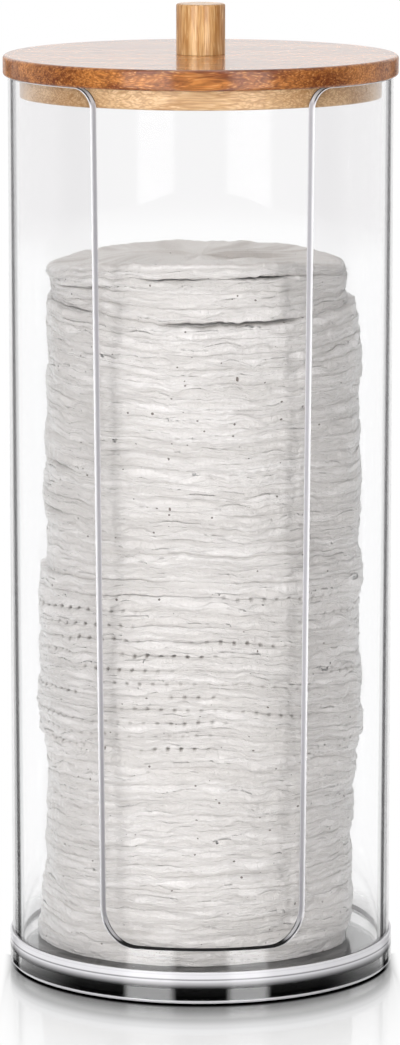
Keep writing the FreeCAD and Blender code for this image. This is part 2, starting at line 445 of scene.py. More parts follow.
def bamboo_group() -> bpy.types.NodeTree:
    """The pattern of laminated bamboo: glued strips, long fibres, and the pores at their ends.

    Everything is drawn in a space whose first axis is squeezed, so that cells and noise become
    streaks along the fibres and stay dots on a cut across them.

    Returns:
        The node group.
    """
    group, w, source, sink = new_group(
        "bamboo_grain",
        [("Fibre Vector", "Vector"), ("Pale", "Color"), ("Deep", "Color"), ("Pore", "Color"),
         ("Fibre", "Color"), ("Strip Width", "Float"), ("Pore Amount", "Float")],
        [("Color", "Color"), ("Height", "Float"), ("Gloss Loss", "Float")],
    )
    place = source.outputs["Fibre Vector"]
    sway = w.noise(w.scaled(place, (0.05, 0.35, 0.35)), 1.0, 3.0, colour=True)
    sway = w.scaled(w.vector("SUBTRACT", sway, (0.5, 0.5, 0.5)), (0.0, 2.6, 2.6))
    swayed = w.vector("ADD", place, sway)
    across = w.add("SeparateXYZ", {0: swayed}).outputs
    strip = w.maths("FLOOR", w.maths("DIVIDE", across[1], source.outputs["Strip Width"]))
    strip_tone = w.add("TexWhiteNoise", {"W": strip}, noise_dimensions="1D").outputs["Value"]
    broad = w.noise(w.scaled(swayed, (0.045, 0.16, 0.16)), 1.0, 3.0)
    streak = w.noise(w.scaled(swayed, (0.05, 1.3, 1.3)), 1.0, 4.0, 0.62)
    thread = w.noise(w.scaled(swayed, (0.22, 5.0, 5.0)), 1.0, 3.0, 0.6)
    tone = w.maths("MULTIPLY_ADD", strip_tone, 0.35, -0.18)
    tone = w.maths("ADD", tone, w.ramp(broad, 0.32, 0.68, 0.15, 0.85))
    tone = w.maths("ADD", tone, w.maths("MULTIPLY_ADD", streak, 2.0, -1.0))
    tone = w.maths("ADD", tone, w.maths("MULTIPLY_ADD", thread, 1.0, -0.5), clamp=True)
    wood = w.mix(tone, source.outputs["Pale"], source.outputs["Deep"])
    bundle = w.cells(w.scaled(swayed, (0.12, 2.9, 2.9)), 1.0).outputs["Distance"]
    wood = w.mix(w.ramp(bundle, 0.36, 0.12, 0.0, 0.45), wood, source.outputs["Fibre"])
    pore = w.ramp(bundle, 0.42, 0.72)
    pore = w.maths("MULTIPLY", pore, source.outputs["Pore Amount"], clamp=True)
    colour = w.mix(pore, wood, source.outputs["Pore"])
    height = w.maths("SUBTRACT", w.maths("MULTIPLY", streak, 0.6), pore)
    w.tree.links.new(colour, sink.inputs["Color"])
    w.tree.links.new(height, sink.inputs["Height"])
    w.tree.links.new(pore, sink.inputs["Gloss Loss"])
    return group


@dataclass(frozen=True)
class BambooFinish:
    """Varnished bamboo of one tone.

    Attributes:
        name: the material's name.
        pale: the wood between the fibres.
        deep: its darker streaks.
        pore: the open ends and sides of its fibre bundles.
        fibre: the bundles' bright cores.
        grain: which way the fibres run.
        strip_width: how wide the glued strips are, in millimetres.
        pore_amount: how strongly the pores show.
        varnish: the varnish on faces that lie flat.
        edge_varnish: the varnish on upright faces, which has sunk in.
        shift: where in the pattern the piece was cut, in millimetres.
        bounced: the colour that light takes on its way from the wood to other dull surfaces.
        bounce_share: how much of that colour replaces the wood's own.
    """

    name: str
    pale: Colour
    deep: Colour
    pore: Colour
    fibre: Colour
    grain: Grain
    strip_width: float
    pore_amount: float
    varnish: float
    edge_varnish: float
    shift: tuple[float, float, float] = (0.0, 0.0, 0.0)
    bounced: Colour = (0.42, 0.40, 0.38)
    bounce_share: float = 0.7

    def material(self, group: bpy.types.NodeTree) -> bpy.types.Material:
        """The finish as a material that uses the shared bamboo pattern.

        Args:
            group: the bamboo pattern.

        Returns:
            The material.
        """
        material, w, output = new_material(self.name)
        mapped = w.add("Mapping", {
            "Vector": w.add("TexCoord").outputs["Object"],
            "Location": self.shift,
            "Rotation": (0.0, math.pi / 2, 0.0) if self.grain is Grain.UPRIGHT else (0.0, 0.0, 0.0),
            "Scale": (1 / MM, 1 / MM, 1 / MM),
        })
        grain = w.add("Group", {
            "Fibre Vector": mapped.outputs[0],
            "Pale": rgba(self.pale),
            "Deep": rgba(self.deep),
            "Pore": rgba(self.pore),
            "Fibre": rgba(self.fibre),
            "Strip Width": self.strip_width,
            "Pore Amount": self.pore_amount,
        }, node_tree=group)
        normal = w.add("SeparateXYZ", {0: w.add("NewGeometry").outputs["Normal"]}).outputs
        flat = w.maths("ABSOLUTE", normal[2])
        bounce = w.maths("MULTIPLY", w.add("LightPath").outputs["Is Diffuse Ray"], self.bounce_share)
        shader = w.add("BsdfPrincipled", {
            "Base Color": w.mix(bounce, grain.outputs["Color"], rgba(self.bounced)),
            "Roughness": w.ramp(grain.outputs["Gloss Loss"], 0.0, 1.0, 0.36, 0.62),
            "Normal": w.bump(grain.outputs["Height"], 0.5, 0.08),
            "Specular IOR Level": 0.2,
            "Coat Weight": w.ramp(flat, 0.5, 0.95, self.edge_varnish, self.varnish),
            "Coat Roughness": 0.10,
            "Coat IOR": 1.5,
        })
        w.tree.links.new(shader.outputs[0], output.inputs["Surface"])
        return material


def moulding_group() -> bpy.types.NodeTree:
    """The very slight waviness that moulding leaves in clear plastic.

    Returns:
        The node group.
    """
    group, w, source, sink = new_group("moulding_waves", [("Vector", "Vector")], [("Wave", "Float")])
    place = w.scaled(source.outputs["Vector"], (1 / MM, 1 / MM, 1 / MM))
    wave = w.noise(w.scaled(place, (0.045, 0.045, 0.012)), 1.0, 1.0)
    w.tree.links.new(wave, sink.inputs["Wave"])
    return group


@dataclass(frozen=True)
class ClearPlastic:
    """Clear moulded plastic.

    Light on its way to what is behind passes straight through, which stands for the light that a
    thin wall bends but doesn't stop. Heights are in millimetres, and each pair of stops is a
    height and a value.

    Attributes:
        name: the material's name.
        tint: the plastic seen square on.
        painted_band_low: the painted dark band along the outline at the foot, shade that stands for the
            dark surroundings seen through the wall edge-on.
        painted_band_high: the same at the rim.
        shadow_pass: the share of light that one skin lets through.
        mirror_low: how strongly the plastic mirrors its surroundings at the foot.
        mirror_high: the same higher up.
        mirror_flat: the share of that left on faces that lie flat.
        lid_shade_from: the height from which the wall is painted a little greyer, where the lid darkens it.
        lid_shade: the painted grey of that shade.
        skin_radius: what stands farther out than this is the outer skin.
        skin_paint: how much of the outer skin is painted over, by height.
        skin_paint_tone: the brightness of that paint: a painted highlight along the foot's chamfer, a pale
            band of painted light on the lip, painted shade below it, and a dark line where the groove's
            floor shows through.
        line_low: how far the outer skin has to turn away at the foot to be in the band's middle.
        line_high: the same at the rim.
        shoulder: the share of the band's depth in its pale inner border.
        rim_share: the share of it left in its outer border.
        ior: the index of refraction.
        roughness: the roughness of its skins.
        cut_pass: the share of shadow_pass that a cut edge lets through.
        cut_paint: how much of a cut edge is covered by its painted light and shade.
        cut_glint: the painted pale colour of a cut edge's lines and of the base's painted skin.
        cut_middle: its painted grey middle.
        painted_black: the painted black of its shaded stretches, and where the painted tone is low.
    """

    name: str
    tint: Colour
    painted_band_low: Colour
    painted_band_high: Colour
    shadow_pass: float
    mirror_low: float = 1.0
    mirror_high: float = 1.0
    mirror_flat: float = 0.32
    lid_shade_from: float = 900.0
    lid_shade: Colour = (0.93, 0.925, 0.93)
    skin_radius: float = 38.5
    skin_paint: Stops = ()
    skin_paint_tone: Stops = ()
    line_low: float = 0.735
    line_high: float = 0.80
    shoulder: float = 0.35
    rim_share: float = 0.18
    ior: float = 1.49
    roughness: float = 0.0
    cut_pass: float = 0.62
    cut_paint: float = 0.92
    cut_glint: Colour = (0.86, 0.85, 0.88)
    cut_middle: Colour = (0.56, 0.55, 0.59)
    painted_black: Colour = (0.01, 0.01, 0.01)

    def band(self, w: Wiring, high: bpy.types.NodeSocket) -> bpy.types.NodeSocket:
        """How strongly the painted dark band along the outline covers the plastic.

        The band is painted shade for the dark surroundings seen through the wall edge-on. It rises in
        two steps as the surface turns away: a pale border and then the dark line. It falls again at the
        very edge.

        Args:
            w: the material's wiring.
            high: the height, from 0 at the foot to 1 at the rim.

        Returns:
            A share from 0 to 1.
        """
        facing = w.add("LayerWeight", {"Blend": 0.5}).outputs["Facing"]
        middle = w.ramp(high, 0.0, 1.0, self.line_low, self.line_high, smooth=False)
        line = w.maths("SUBTRACT", facing, middle)
        border = w.ramp(line, -0.085, -0.07, 0.0, self.shoulder)
        core = w.ramp(line, -0.045, -0.015, 0.0, 1.0 - self.shoulder)
        outside = w.ramp(line, 0.055, 0.018, self.rim_share, 1.0)
        return w.maths("MULTIPLY", w.maths("ADD", border, core), outside)

    def cut_face(
        self, w: Wiring, height: bpy.types.NodeSocket, dark: bpy.types.NodeSocket
    ) -> bpy.types.Node:
        """Painted light and shade on cut edges and on the base's outer skin.

        Args:
            w: the material's wiring.
            height: the height in metres.
            dark: the mesh's painted darkness, 0 where it is pale, 0.5 where grey and 1 where dark.

        Returns:
            Its shader.
        """
        # painted light and shade of a cut edge: pale lines, a grey middle and black stretches
        colour = w.mix(w.ramp(dark, 0.0, 0.5), rgba(self.cut_glint), rgba(self.cut_middle))
        colour = w.mix(w.ramp(dark, 0.5, 1.0), colour, rgba(self.painted_black))
        if self.skin_paint_tone:
            tone = w.steps(height, self.skin_paint_tone)
        else:
            # the painted lines grow darker towards the bottom
            tone = w.ramp(height, 0.015, 0.08, 0.7, 1.0)
        return w.add("BsdfPrincipled", {
            "Base Color": w.mix(tone, rgba(self.painted_black), colour),
            "Roughness": 0.18,
            "Specular IOR Level": w.ramp(dark, 0.5, 0.9, 0.2, 0.0),
            "IOR": self.ior,
            "Transmission Weight": 0.1,
        })

    def material(self, group: bpy.types.NodeTree) -> bpy.types.Material:
        """The finish as a material.

        It reads the mesh's attributes: cut_edge is 1 on a cut edge, cut_dark is how dark its
        painted shade is there, and cut_shade is how much of a shade it casts.

        Args:
            group: the moulding's waves.

        Returns:
            The material.
        """
        material, w, output = new_material(self.name)
        place = w.add("TexCoord").outputs["Object"]
        waves = w.add("Group", {"Vector": place}, node_tree=group)
        parts = w.add("SeparateXYZ", {0: place}).outputs
        across = w.add("CombineXYZ", {0: parts[0], 1: parts[1]}).outputs[0]
        radius = w.add("VectorMath", {0: across}, operation="LENGTH").outputs["Value"]
        skin = w.maths("GREATER_THAN", radius, self.skin_radius * MM)
        high = w.ramp(parts[2], 0.0, 0.19, smooth=False)
        # painted shade: the wall turns a little greyer above a set height, where the lid darkens it
        lid_shaded = w.ramp(parts[2], (self.lid_shade_from - 4.0) * MM, (self.lid_shade_from + 4.0) * MM)
        plain = w.mix(lid_shaded, rgba(self.tint), rgba(self.lid_shade))
        # painted shade: the colour darkens along the outline as the surface turns away
        painted_band = w.mix(high, rgba(self.painted_band_low), rgba(self.painted_band_high))
        normal = w.add("SeparateXYZ", {0: w.add("NewGeometry").outputs["Normal"]}).outputs
        flat = w.ramp(w.maths("ABSOLUTE", normal[2]), 0.5, 0.9, 1.0, self.mirror_flat)
        mirror = w.ramp(parts[2], 0.02, 0.06, self.mirror_low, self.mirror_high)
        clear = w.add("BsdfPrincipled", {
            "Base Color": w.mix(w.maths("MULTIPLY", self.band(w, high), skin), plain, painted_band),
            "Roughness": self.roughness,
            "IOR": self.ior,
            "Transmission Weight": 1.0,
            "Specular Tint": w.grey(w.maths("MULTIPLY", mirror, flat)),
            "Normal": w.bump(waves.outputs["Wave"], 0.06, 0.3),
        })
        # the cut edges' painted light and shade replace the clear plastic where they lie
        dark = w.attribute("cut_dark")
        painted_look = self.cut_face(w, parts[2], dark)
        share = w.ramp(w.attribute("cut_edge"), 0.1, 0.4, 0.0, self.cut_paint)
        share = w.maths("MAXIMUM", share, w.ramp(dark, 0.6, 0.8))
        # painted light and shade cover the base's outer skin, by height
        if self.skin_paint:
            share = w.maths("MAXIMUM", share, w.maths("MULTIPLY", skin, w.steps(parts[2], self.skin_paint)))
        polished = w.add("MixShader", {0: share, 1: clear.outputs[0], 2: painted_look.outputs[0]})
        shaded = self.shadow_pass * self.cut_pass
        passed = w.ramp(w.attribute("cut_shade"), 0.0, 1.0, self.shadow_pass, shaded)
        through = w.add("BsdfTransparent", {"Color": w.grey(passed)})
        path = w.add("LightPath").outputs
        unseen = w.maths("MAXIMUM", path["Is Shadow Ray"], path["Is Diffuse Ray"])
        surface = w.add("MixShader", {0: unseen, 1: polished.outputs[0], 2: through.outputs[0]})
        w.tree.links.new(surface.outputs[0], output.inputs["Surface"])
        return material


@dataclass(frozen=True)
class CottonFinish:
    """Unbleached cotton: fine layered fibres, seed specks, and a soft bright nap at its edge, partly
    a real sheen and partly a painted sheen.

    Attributes:
        name: the material's name.
        pale: the clean fibres.
        warm: the darker ones between them.
        hollow: the painted shade in a seam, a crack or a crimp.
        speck: the seed specks.
        painted_sheen: the colour painted on where the surface is seen edge on, a painted sheen of the nap.
        nap: how strongly the nap shines.
    """

    name: str = "unbleached_cotton"
    pale: Colour = (0.91, 0.88, 0.87)
    warm: Colour = (0.69, 0.66, 0.64)
    hollow: Colour = (0.22, 0.195, 0.175)
    speck: Colour = (0.07, 0.045, 0.03)
    painted_sheen: Colour = (0.95, 0.945, 0.94)
    nap: float = 0.3

    def material(self) -> bpy.types.Material:
        """The finish as a material.

        It reads the mesh's attributes: ply_height is a point's height in the flat stack, so that
        fibres follow the layers' waves, and hollow is how much painted shade it has in a seam, a
        crack, a crimp or a covered face.

        Returns:
            The material.
        """
        material, w, output = new_material(self.name)
        place = w.add("SeparateXYZ", {0: w.add("TexCoord").outputs["Object"]}).outputs
        layered = w.add("CombineXYZ", {0: place[0], 1: place[1], 2: w.attribute("ply_height")}).outputs[0]
        flat = w.scaled(layered, (1 / MM, 1 / MM, 1 / MM))
        fibre = w.noise(w.scaled(flat, (0.55, 0.55, 4.2)), 1.0, 4.0, 0.62)
        fluff = w.noise(w.scaled(flat, (1.7, 1.7, 2.6)), 1.0, 4.0, 0.7)
        layer = w.noise(w.scaled(flat, (0.08, 0.08, 1.05)), 1.0, 4.0, 0.6)
        ripple = w.noise(w.scaled(flat, (0.05, 0.05, 1.2)), 1.0, 0.0)
        drift = w.noise(w.scaled(flat, (0.05, 0.05, 0.1)), 1.0, 2.0)
        warmth = w.maths("ADD", w.ramp(layer, 0.35, 0.7, 0.0, 0.5), w.ramp(drift, 0.3, 0.7, 0.0, 0.35))
        colour = w.mix(warmth, rgba(self.pale), rgba(self.warm))
        colour = w.mix(w.ramp(ripple, 0.36, 0.64, 0.8, 0.0), colour, rgba(self.warm))
        colour = w.mix(w.ramp(fibre, 0.36, 0.64, 0.24, 0.0), colour, rgba(self.warm))
        colour = w.mix(w.ramp(fluff, 0.36, 0.64, 0.26, 0.0), colour, rgba(self.warm))
        # painted shade in seams, cracks, crimps and on covered faces
        colour = w.mix(w.attribute("hollow"), colour, rgba(self.hollow))
        seeds = w.cells(w.scaled(flat, (1.0, 1.0, 1.4)), 0.36)
        chance = w.add("SeparateColor", {0: seeds.outputs["Color"]}).outputs
        seed = w.maths("LESS_THAN", seeds.outputs["Distance"], w.ramp(chance[1], 0.0, 1.0, 0.035, 0.105))
        seed = w.maths("MULTIPLY", seed, w.maths("GREATER_THAN", chance[0], 0.1))
        colour = w.mix(w.maths("MULTIPLY", seed, 0.8), colour, rgba(self.speck))
        # painted sheen: the colour turns paler where the surface turns away from view
        facing = w.add("LayerWeight", {"Blend": 0.5}).outputs["Facing"]
        colour = w.mix(w.ramp(facing, 0.55, 0.95, 0.0, 0.7), colour, rgba(self.painted_sheen))
        relief = w.maths("ADD", w.maths("MULTIPLY", fibre, 0.8), fluff)
        relief = w.maths("ADD", relief, w.maths("MULTIPLY", layer, 3.2))
        shader = w.add("BsdfPrincipled", {
            "Base Color": colour,
            "Roughness": 0.95,
            "Specular IOR Level": 0.2,
            "Sheen Weight": self.nap,
            "Sheen Roughness": 0.5,
            "Normal": w.bump(relief, 0.7, 0.55),
        })
        w.tree.links.new(shader.outputs[0], output.inputs["Surface"])
        return material


@dataclass(frozen=True)
class SteelFinish:
    """Bright zinc-plated steel with fine turning marks."""

    name: str = "plated_steel"
    colour: Colour = (0.62, 0.62, 0.63)

    def material(self) -> bpy.types.Material:
        """The finish as a material.

        Returns:
            The material.
        """
        material, w, output = new_material(self.name)
        place = w.scaled(w.add("TexCoord").outputs["Object"], (1 / MM, 1 / MM, 1 / MM))
        turned = w.noise(w.scaled(place, (0.6, 0.6, 9.0)), 1.0, 3.0)
        shader = w.add("BsdfPrincipled", {
            "Base Color": w.mix(turned, rgba(self.colour), rgba(tuple(0.8 * c for c in self.colour))),
            "Metallic": 1.0,
            "Roughness": w.ramp(turned, 0.3, 0.7, 0.24, 0.4),
            "Normal": w.bump(turned, 0.2, 0.03),
        })
        w.tree.links.new(shader.outputs[0], output.inputs["Surface"])
        return material


# ---------------------------------------------------------------- clear tube and base


@dataclass
class ClearTube:
    """The clear tube with its front slot, a wall of even thickness cut along its radii.

    Attributes:
        finish: its plastic.
        outer: its outer radius.
        bore: its inner radius.
        seat: the height of the groove's floor in the base.
        rim: the height of its rim.
        sill: the height of the slot's sill.
        slot_top: how wide the slot would be at the rim without its flare.
        slot_bottom: how wide it would be at the sill without its round corners.
        corner: how far each bottom corner reaches.
        flare: how far each top corner reaches.
        edge_round: the rounding of the slot's and the rim's edges.
        foot_round: the rounding of the foot's edges.
        cut_lines: where the cut face has lines of vertices, as shares of the wall.
        shade_width: how far in from the slot the wall casts a shade.
        glue_film: the gap under the foot.
    """

    finish: bpy.types.Material
    outer: float
    bore: float
    seat: float
    rim: float
    sill: float
    slot_top: float = 43.8
    slot_bottom: float = 40.6
    corner: float = 7.5
    flare: float = 4.5
    edge_round: float = 0.3
    foot_round: float = 0.12
    cut_lines: tuple[float, ...] = (0.21, 0.29, 0.71, 0.79)
    shade_width: float = 2.0
    glue_film: float = 0.02
    wall_columns: int = 320
    sill_columns: int = 72
    low_rows: int = 3
    side_rows: int = 16
    corner_rows: int = 14

    def slot_half(self) -> tuple[np.ndarray, np.ndarray, np.ndarray, np.ndarray]:
        """The slot's right-hand edge, from the sill up to the rim.

        The angle of its straight side grows evenly with height. Each corner is a quarter turn: the
        cubic curve whose handles reach 0.5523 of the way to the corner it rounds.

        Returns:
            Angles, heights, and the unit normal out of the wall as (along the circle, up).
        """
        half_top = math.asin(self.slot_top / 2 / self.outer)
        half_bottom = math.asin(self.slot_bottom / 2 / self.outer)
        low, high = self.sill + self.corner, self.rim - self.flare

        def side(z: float) -> float:
            """The straight side's angle at a height."""
            return half_bottom + (half_top - half_bottom) * (z - self.sill) / (self.rim - self.sill)

        def quarter(first: np.ndarray, turn: np.ndarray, last: np.ndarray) -> np.ndarray:
            """One rounded corner.

            Args:
                first: where it starts.
                turn: the corner that it rounds.
                last: where it ends.

            Returns:
                Its points, as rows of (angle, height).
            """
            handle = 0.5523
            near, far = first + (turn - first) * handle, last + (turn - last) * handle
            t = np.linspace(0, 1, self.corner_rows + 1)[:, None]
            s = 1 - t
            return s ** 3 * first + 3 * s * s * t * near + 3 * s * t * t * far + t ** 3 * last

        corner_end, flare_start = side(low), side(high)
        lower = quarter(np.array([corner_end - self.corner / self.outer, self.sill]),
                        np.array([corner_end, self.sill]), np.array([corner_end, low]))
        upper = quarter(np.array([flare_start, high]), np.array([flare_start, self.rim]),
                        np.array([flare_start + self.flare / self.outer, self.rim]))
        straight = np.linspace([corner_end, low], [flare_start, high], self.side_rows + 1)[1:-1]
        path = np.concatenate([lower, straight, upper])
        step = np.gradient(path * [self.outer, 1.0], axis=0)
        step[0], step[-1] = (1, 0), (1, 0)
        step /= np.hypot(step[:, 0], step[:, 1])[:, None]
        return path[:, 0], path[:, 1], -step[:, 1], step[:, 0]

    def build(self) -> bpy.types.Object:
        """Makes the tube.

        Its outer and inner faces are grids on exact cylinders: full rings below the sill, and
        above it rows that run from one edge of the slot round the back to the other. A strip with
        rounded edges closes them along the slot and the rim, and a second one along the foot.

        Returns:
            The tube's object.
        """
        surface = Surface()
        angle, height, across, up = self.slot_half()
        inset = self.edge_round
        edge_angle = angle - across * inset / self.outer
        edge_height = height - up * inset
        share = np.linspace(0, 1, self.wall_columns + 1)
        rows_angle = edge_angle[:, None] + (TURN - 2 * edge_angle[:, None]) * share
        front = np.linspace(TURN - edge_angle[0], TURN + edge_angle[0], self.sill_columns + 1)[1:-1]
        ring_angle = np.concatenate([rows_angle[0], front])
        foot = self.seat + self.glue_film
        ring_height = np.linspace(foot + self.foot_round, edge_height[0], self.low_rows + 1)
        sheets = []
        in_from_edge = np.minimum(share, 1 - share) * (TURN - 2 * edge_angle[:, None]) * self.outer
        near = 1 - smooth_step(0.5, 1.0, in_from_edge / self.shade_width)
        for radius, sign in ((self.outer, 1.0), (self.bore, -1.0)):
            out = around(np.broadcast_to(ring_angle, (len(ring_height), len(ring_angle))))
            place = radius * out
            place[..., 2] = ring_height[:, None]
            rings = surface.add(place, sign * out, cut_edge=0.0, cut_dark=0.0, cut_shade=0.0)
            out = around(rows_angle[1:])
            place = radius * out
            place[..., 2] = edge_height[1:, None]
            rows = surface.add(place, sign * out, cut_edge=0.0, cut_dark=0.0, cut_shade=near[1:])
            rows = np.concatenate([rings[-1:, :self.wall_columns + 1], rows])
            surface.skin(rings, wrap_columns=True, flip=sign < 0)
            surface.skin(rows, flip=sign < 0)
            front_row = rings[-1, self.wall_columns + 1:]
            slot = np.concatenate([rows[:, 0], rows[-1, 1:], rows[-2::-1, -1], front_row])
            sheets.append((slot, rings[0]))
        last = len(angle) - 1
        loop_angle = np.concatenate([angle, rows_angle[-1, 1:], TURN - angle[last - 1::-1], front])
        wall, sill = np.ones(self.wall_columns), np.ones(self.sill_columns - 1)
        loop_height = np.concatenate([height, self.rim * wall, height[last - 1::-1], self.sill * sill])
        loop_across = np.concatenate([across, 0 * wall, -across[last - 1::-1], 0 * sill])
        loop_up = np.concatenate([up, wall, up[last - 1::-1], sill])
        self.strip(surface, sheets[0][0], sheets[1][0], loop_angle, loop_height, loop_across, loop_up,
                   self.edge_round, False)
        ring = np.ones_like(ring_angle)
        self.strip(surface, sheets[0][1], sheets[1][1], ring_angle, foot * ring, 0 * ring, -ring,
                   self.foot_round, True)
        return surface.piece("tube_clear", self.finish)

    def strip(self, surface: Surface, outer_edge: np.ndarray, inner_edge: np.ndarray, angle: np.ndarray,
              height: np.ndarray, across: np.ndarray, up: np.ndarray, fillet: float, flip: bool) -> None:
        """Closes the wall between its two faces along a loop, with both edges rounded.

        At each point of the loop the section is a quarter circle from the outer face to the cut
        face, the straight cut face, and a quarter circle on to the inner face.

        Args:
            surface: what the strip is added to.
            outer_edge: vertex numbers of the outer face along the loop.
            inner_edge: the same for the inner face.
            angle: the loop's angles, on the cut face.
            height: its heights there.
            across: the cut face's normal along the circle.
            up: its normal upwards.
            fillet: the radius of both rounded edges.
            flip: turns the faces over.
        """
        turn = np.linspace(0, math.pi / 2, 6)[1:]
        wall = self.outer - self.bore
        rounded = fillet * (1 - np.cos(turn)) / wall
        share = np.concatenate([rounded, self.cut_lines, 1 - rounded[::-1]])[:, None]
        flat = np.zeros(len(self.cut_lines))
        face = np.concatenate([np.sin(turn), flat + 1, np.sin(turn)[::-1]])[:, None]
        radial = np.concatenate([np.cos(turn), flat, -np.cos(turn)[::-1]])[:, None]
        depth = fillet * (face - 1)
        turned = angle[None] + across[None] * depth / self.outer
        place = around(turned) * (self.outer - wall * share)[..., None]
        place[..., 2] = height[None] + up[None] * depth
        normal = around(turned) * radial[..., None]
        normal += along(turned) * (face * across[None])[..., None]
        normal[..., 2] = face * up[None]
        # the cut face's painted light and shade
        dark = self.painted_darkness(share, height[None], up[None])
        middle = surface.add(place, normal, cut_edge=face, cut_dark=dark, cut_shade=1.0)
        grid = np.concatenate([outer_edge[None], middle, inner_edge[None]])
        surface.skin(grid, wrap_columns=True, flip=flip)

    def painted_darkness(self, share: np.ndarray, height: np.ndarray, up: np.ndarray) -> np.ndarray:
        """How dark the cut is painted, standing in for what its polished face sends back.

        Along the slot's sides it is a grey line between two pale ones. Round a corner the middle
        is pale and its borders are dark. The sill is dark but for a line along its outer edge.

        Args:
            share: how far through the wall a point is, from its outer face.
            height: the point's height.
            up: the upward part of the cut face's normal.

        Returns:
            0 where it is pale, 0.5 where it is grey, 1 where it is dark.
        """
        core = smooth_step(0.20, 0.30, share) * (1 - smooth_step(0.70, 0.80, share))
        rim = smooth_step(0.01, 0.08, share) * (1 - core)
        low = np.where(height < self.rim / 2, 1.0, 0.0)
        sill = smooth_step(0.72, 0.94, up) * low
        turned = smooth_step(0.2, 0.5, up) * (1 - sill)
        return sill * smooth_step(0.0, 0.01, share) + turned * 0.95 * rim + (1 - sill - turned) * 0.5 * core


@dataclass
class ClearBase:
    """The clear base: a floor plate on a skirt, with a groove between lip and spigot for the tube."""

    finish: bpy.types.Material
    radius: float
    lip: float
    tube_outer: float
    tube_bore: float
    seat: float
    floor: float
    floor_thick: float = 2.2
    skirt_wall: float = 2.0
    skirt_fillet: float = 0.8
    foot_chamfer: float = 0.4
    spigot_chamfer: float = 0.3
    glue_gap: float = 0.05
    fine_round: float = 0.08
    lip_round: float = 0.2
    segments: int = 400

    def build(self) -> bpy.types.Object:
        """Makes the base by turning its section about the axis.

        Returns:
            The base's object.
        """
        under = self.floor - self.floor_thick
        skirt_inner = self.radius - self.skirt_wall
        groove_out = self.tube_outer + self.glue_gap
        spigot = self.tube_bore - self.glue_gap
        fine = self.fine_round
        section = filleted([
            (0.0, under, 0.0),
            (skirt_inner, under, self.skirt_fillet),
            (skirt_inner, 0.0, fine),
            (self.radius - self.foot_chamfer, 0.0, fine),
            (self.radius, self.foot_chamfer, fine),
            (self.radius, self.lip, self.lip_round),
            (groove_out, self.lip, fine),
            (groove_out, self.seat, fine),
            (spigot, self.seat, fine),
            (spigot, self.floor - self.spigot_chamfer, fine),
            (spigot - self.spigot_chamfer, self.floor, fine),
            (0.0, self.floor, 0.0),
        ], closed=False)
        surface = Surface()
        surface.lathe(section, self.segments)
        for name in ("cut_edge", "cut_dark", "cut_shade"):
            surface.fields[name] = [np.zeros(surface.count)]
        return surface.piece("base_clear", self.finish)


# ---------------------------------------------------------------- bamboo lid


@dataclass
class BambooLid:
    """The lid: a disc on the rim, a plug in the bore, and a knob, all turned bamboo."""

    disc_finish: bpy.types.Material
    plug_finish: bpy.types.Material
    knob_finish: bpy.types.Material
    disc_radius: float
    disc_bottom: float
    disc_top: float
    plug_radius: float
    plug_bottom: float
    knob_radius: float
    knob_top: float
    disc_round: float = 0.7
    plug_round: float = 0.5
    knob_round: float = 0.4
    hole: float = 1.7
    sink: float = 3.2
    sink_depth: float = 0.3
    pilot: float = 1.25
    pilot_depth: float = 8.6
    fine_round: float = 0.12
    segments: int = 288

    def disc(self) -> bpy.types.Object:
        """Makes the disc, with the hole for the knob's screw.

        Returns:
            The disc's object.
        """
        surface = Surface()
        surface.lathe(filleted([
            (self.hole, self.disc_bottom, self.fine_round),
            (self.disc_radius, self.disc_bottom, self.disc_round),
            (self.disc_radius, self.disc_top, self.disc_round),
            (self.hole, self.disc_top, self.fine_round),
        ], closed=True), self.segments)
        return surface.piece("lid_disc_bamboo", self.disc_finish)

    def plug(self) -> bpy.types.Object:
        """Makes the plug, with a countersink for the screw's head.

        Returns:
            The plug's object.
        """
        cone_top = self.plug_bottom + self.sink_depth + self.sink - self.hole
        surface = Surface()
        surface.lathe(filleted([
            (self.sink, self.plug_bottom, self.fine_round),
            (self.plug_radius, self.plug_bottom, self.plug_round),
            (self.plug_radius, self.disc_bottom, self.fine_round),
            (self.hole, self.disc_bottom, self.fine_round),
            (self.hole, cone_top, self.fine_round),
            (self.sink, self.plug_bottom + self.sink_depth, self.fine_round),
        ], closed=True), self.segments)
        return surface.piece("lid_plug_bamboo", self.plug_finish)

    def knob(self) -> bpy.types.Object:
        """Makes the knob, a short dowel with a blind hole from below.

        Returns:
            The knob's object.
        """
        surface = Surface()
        surface.lathe(filleted([
            (0.0, self.disc_top + self.pilot_depth, 0.0),
            (self.pilot, self.disc_top + self.pilot_depth, self.fine_round),
            (self.pilot, self.disc_top, self.fine_round),
            (self.knob_radius, self.disc_top, self.fine_round),
            (self.knob_radius, self.knob_top, self.knob_round),
            (0.0, self.knob_top, 0.0),
        ], closed=False), self.segments // 2)
        return surface.piece("knob_bamboo", self.knob_finish)


# ---------------------------------------------------------------- cotton pads


@dataclass(frozen=True)
class Sag:
    """How one meeting face of two pads leaves the level, counted from the floor.

    At an angle a from the front its lift is front * (1 + cos a) / 2 + back * (1 - cos a) / 2 +
    sides * sin^2 a + tilt * sin a.
    """

    face: float
    front: float
    back: float
    sides: float
    tilt: float


@dataclass(frozen=True)
class Outline:
    """Where the stack's left and right edges are at one height."""

    height: float
    left: float
    right: float


@dataclass(frozen=True)
class Crack:
    """An open stretch of one meeting face, between two angles in degrees."""

    face: int
    start: float
    end: float
    gape: float


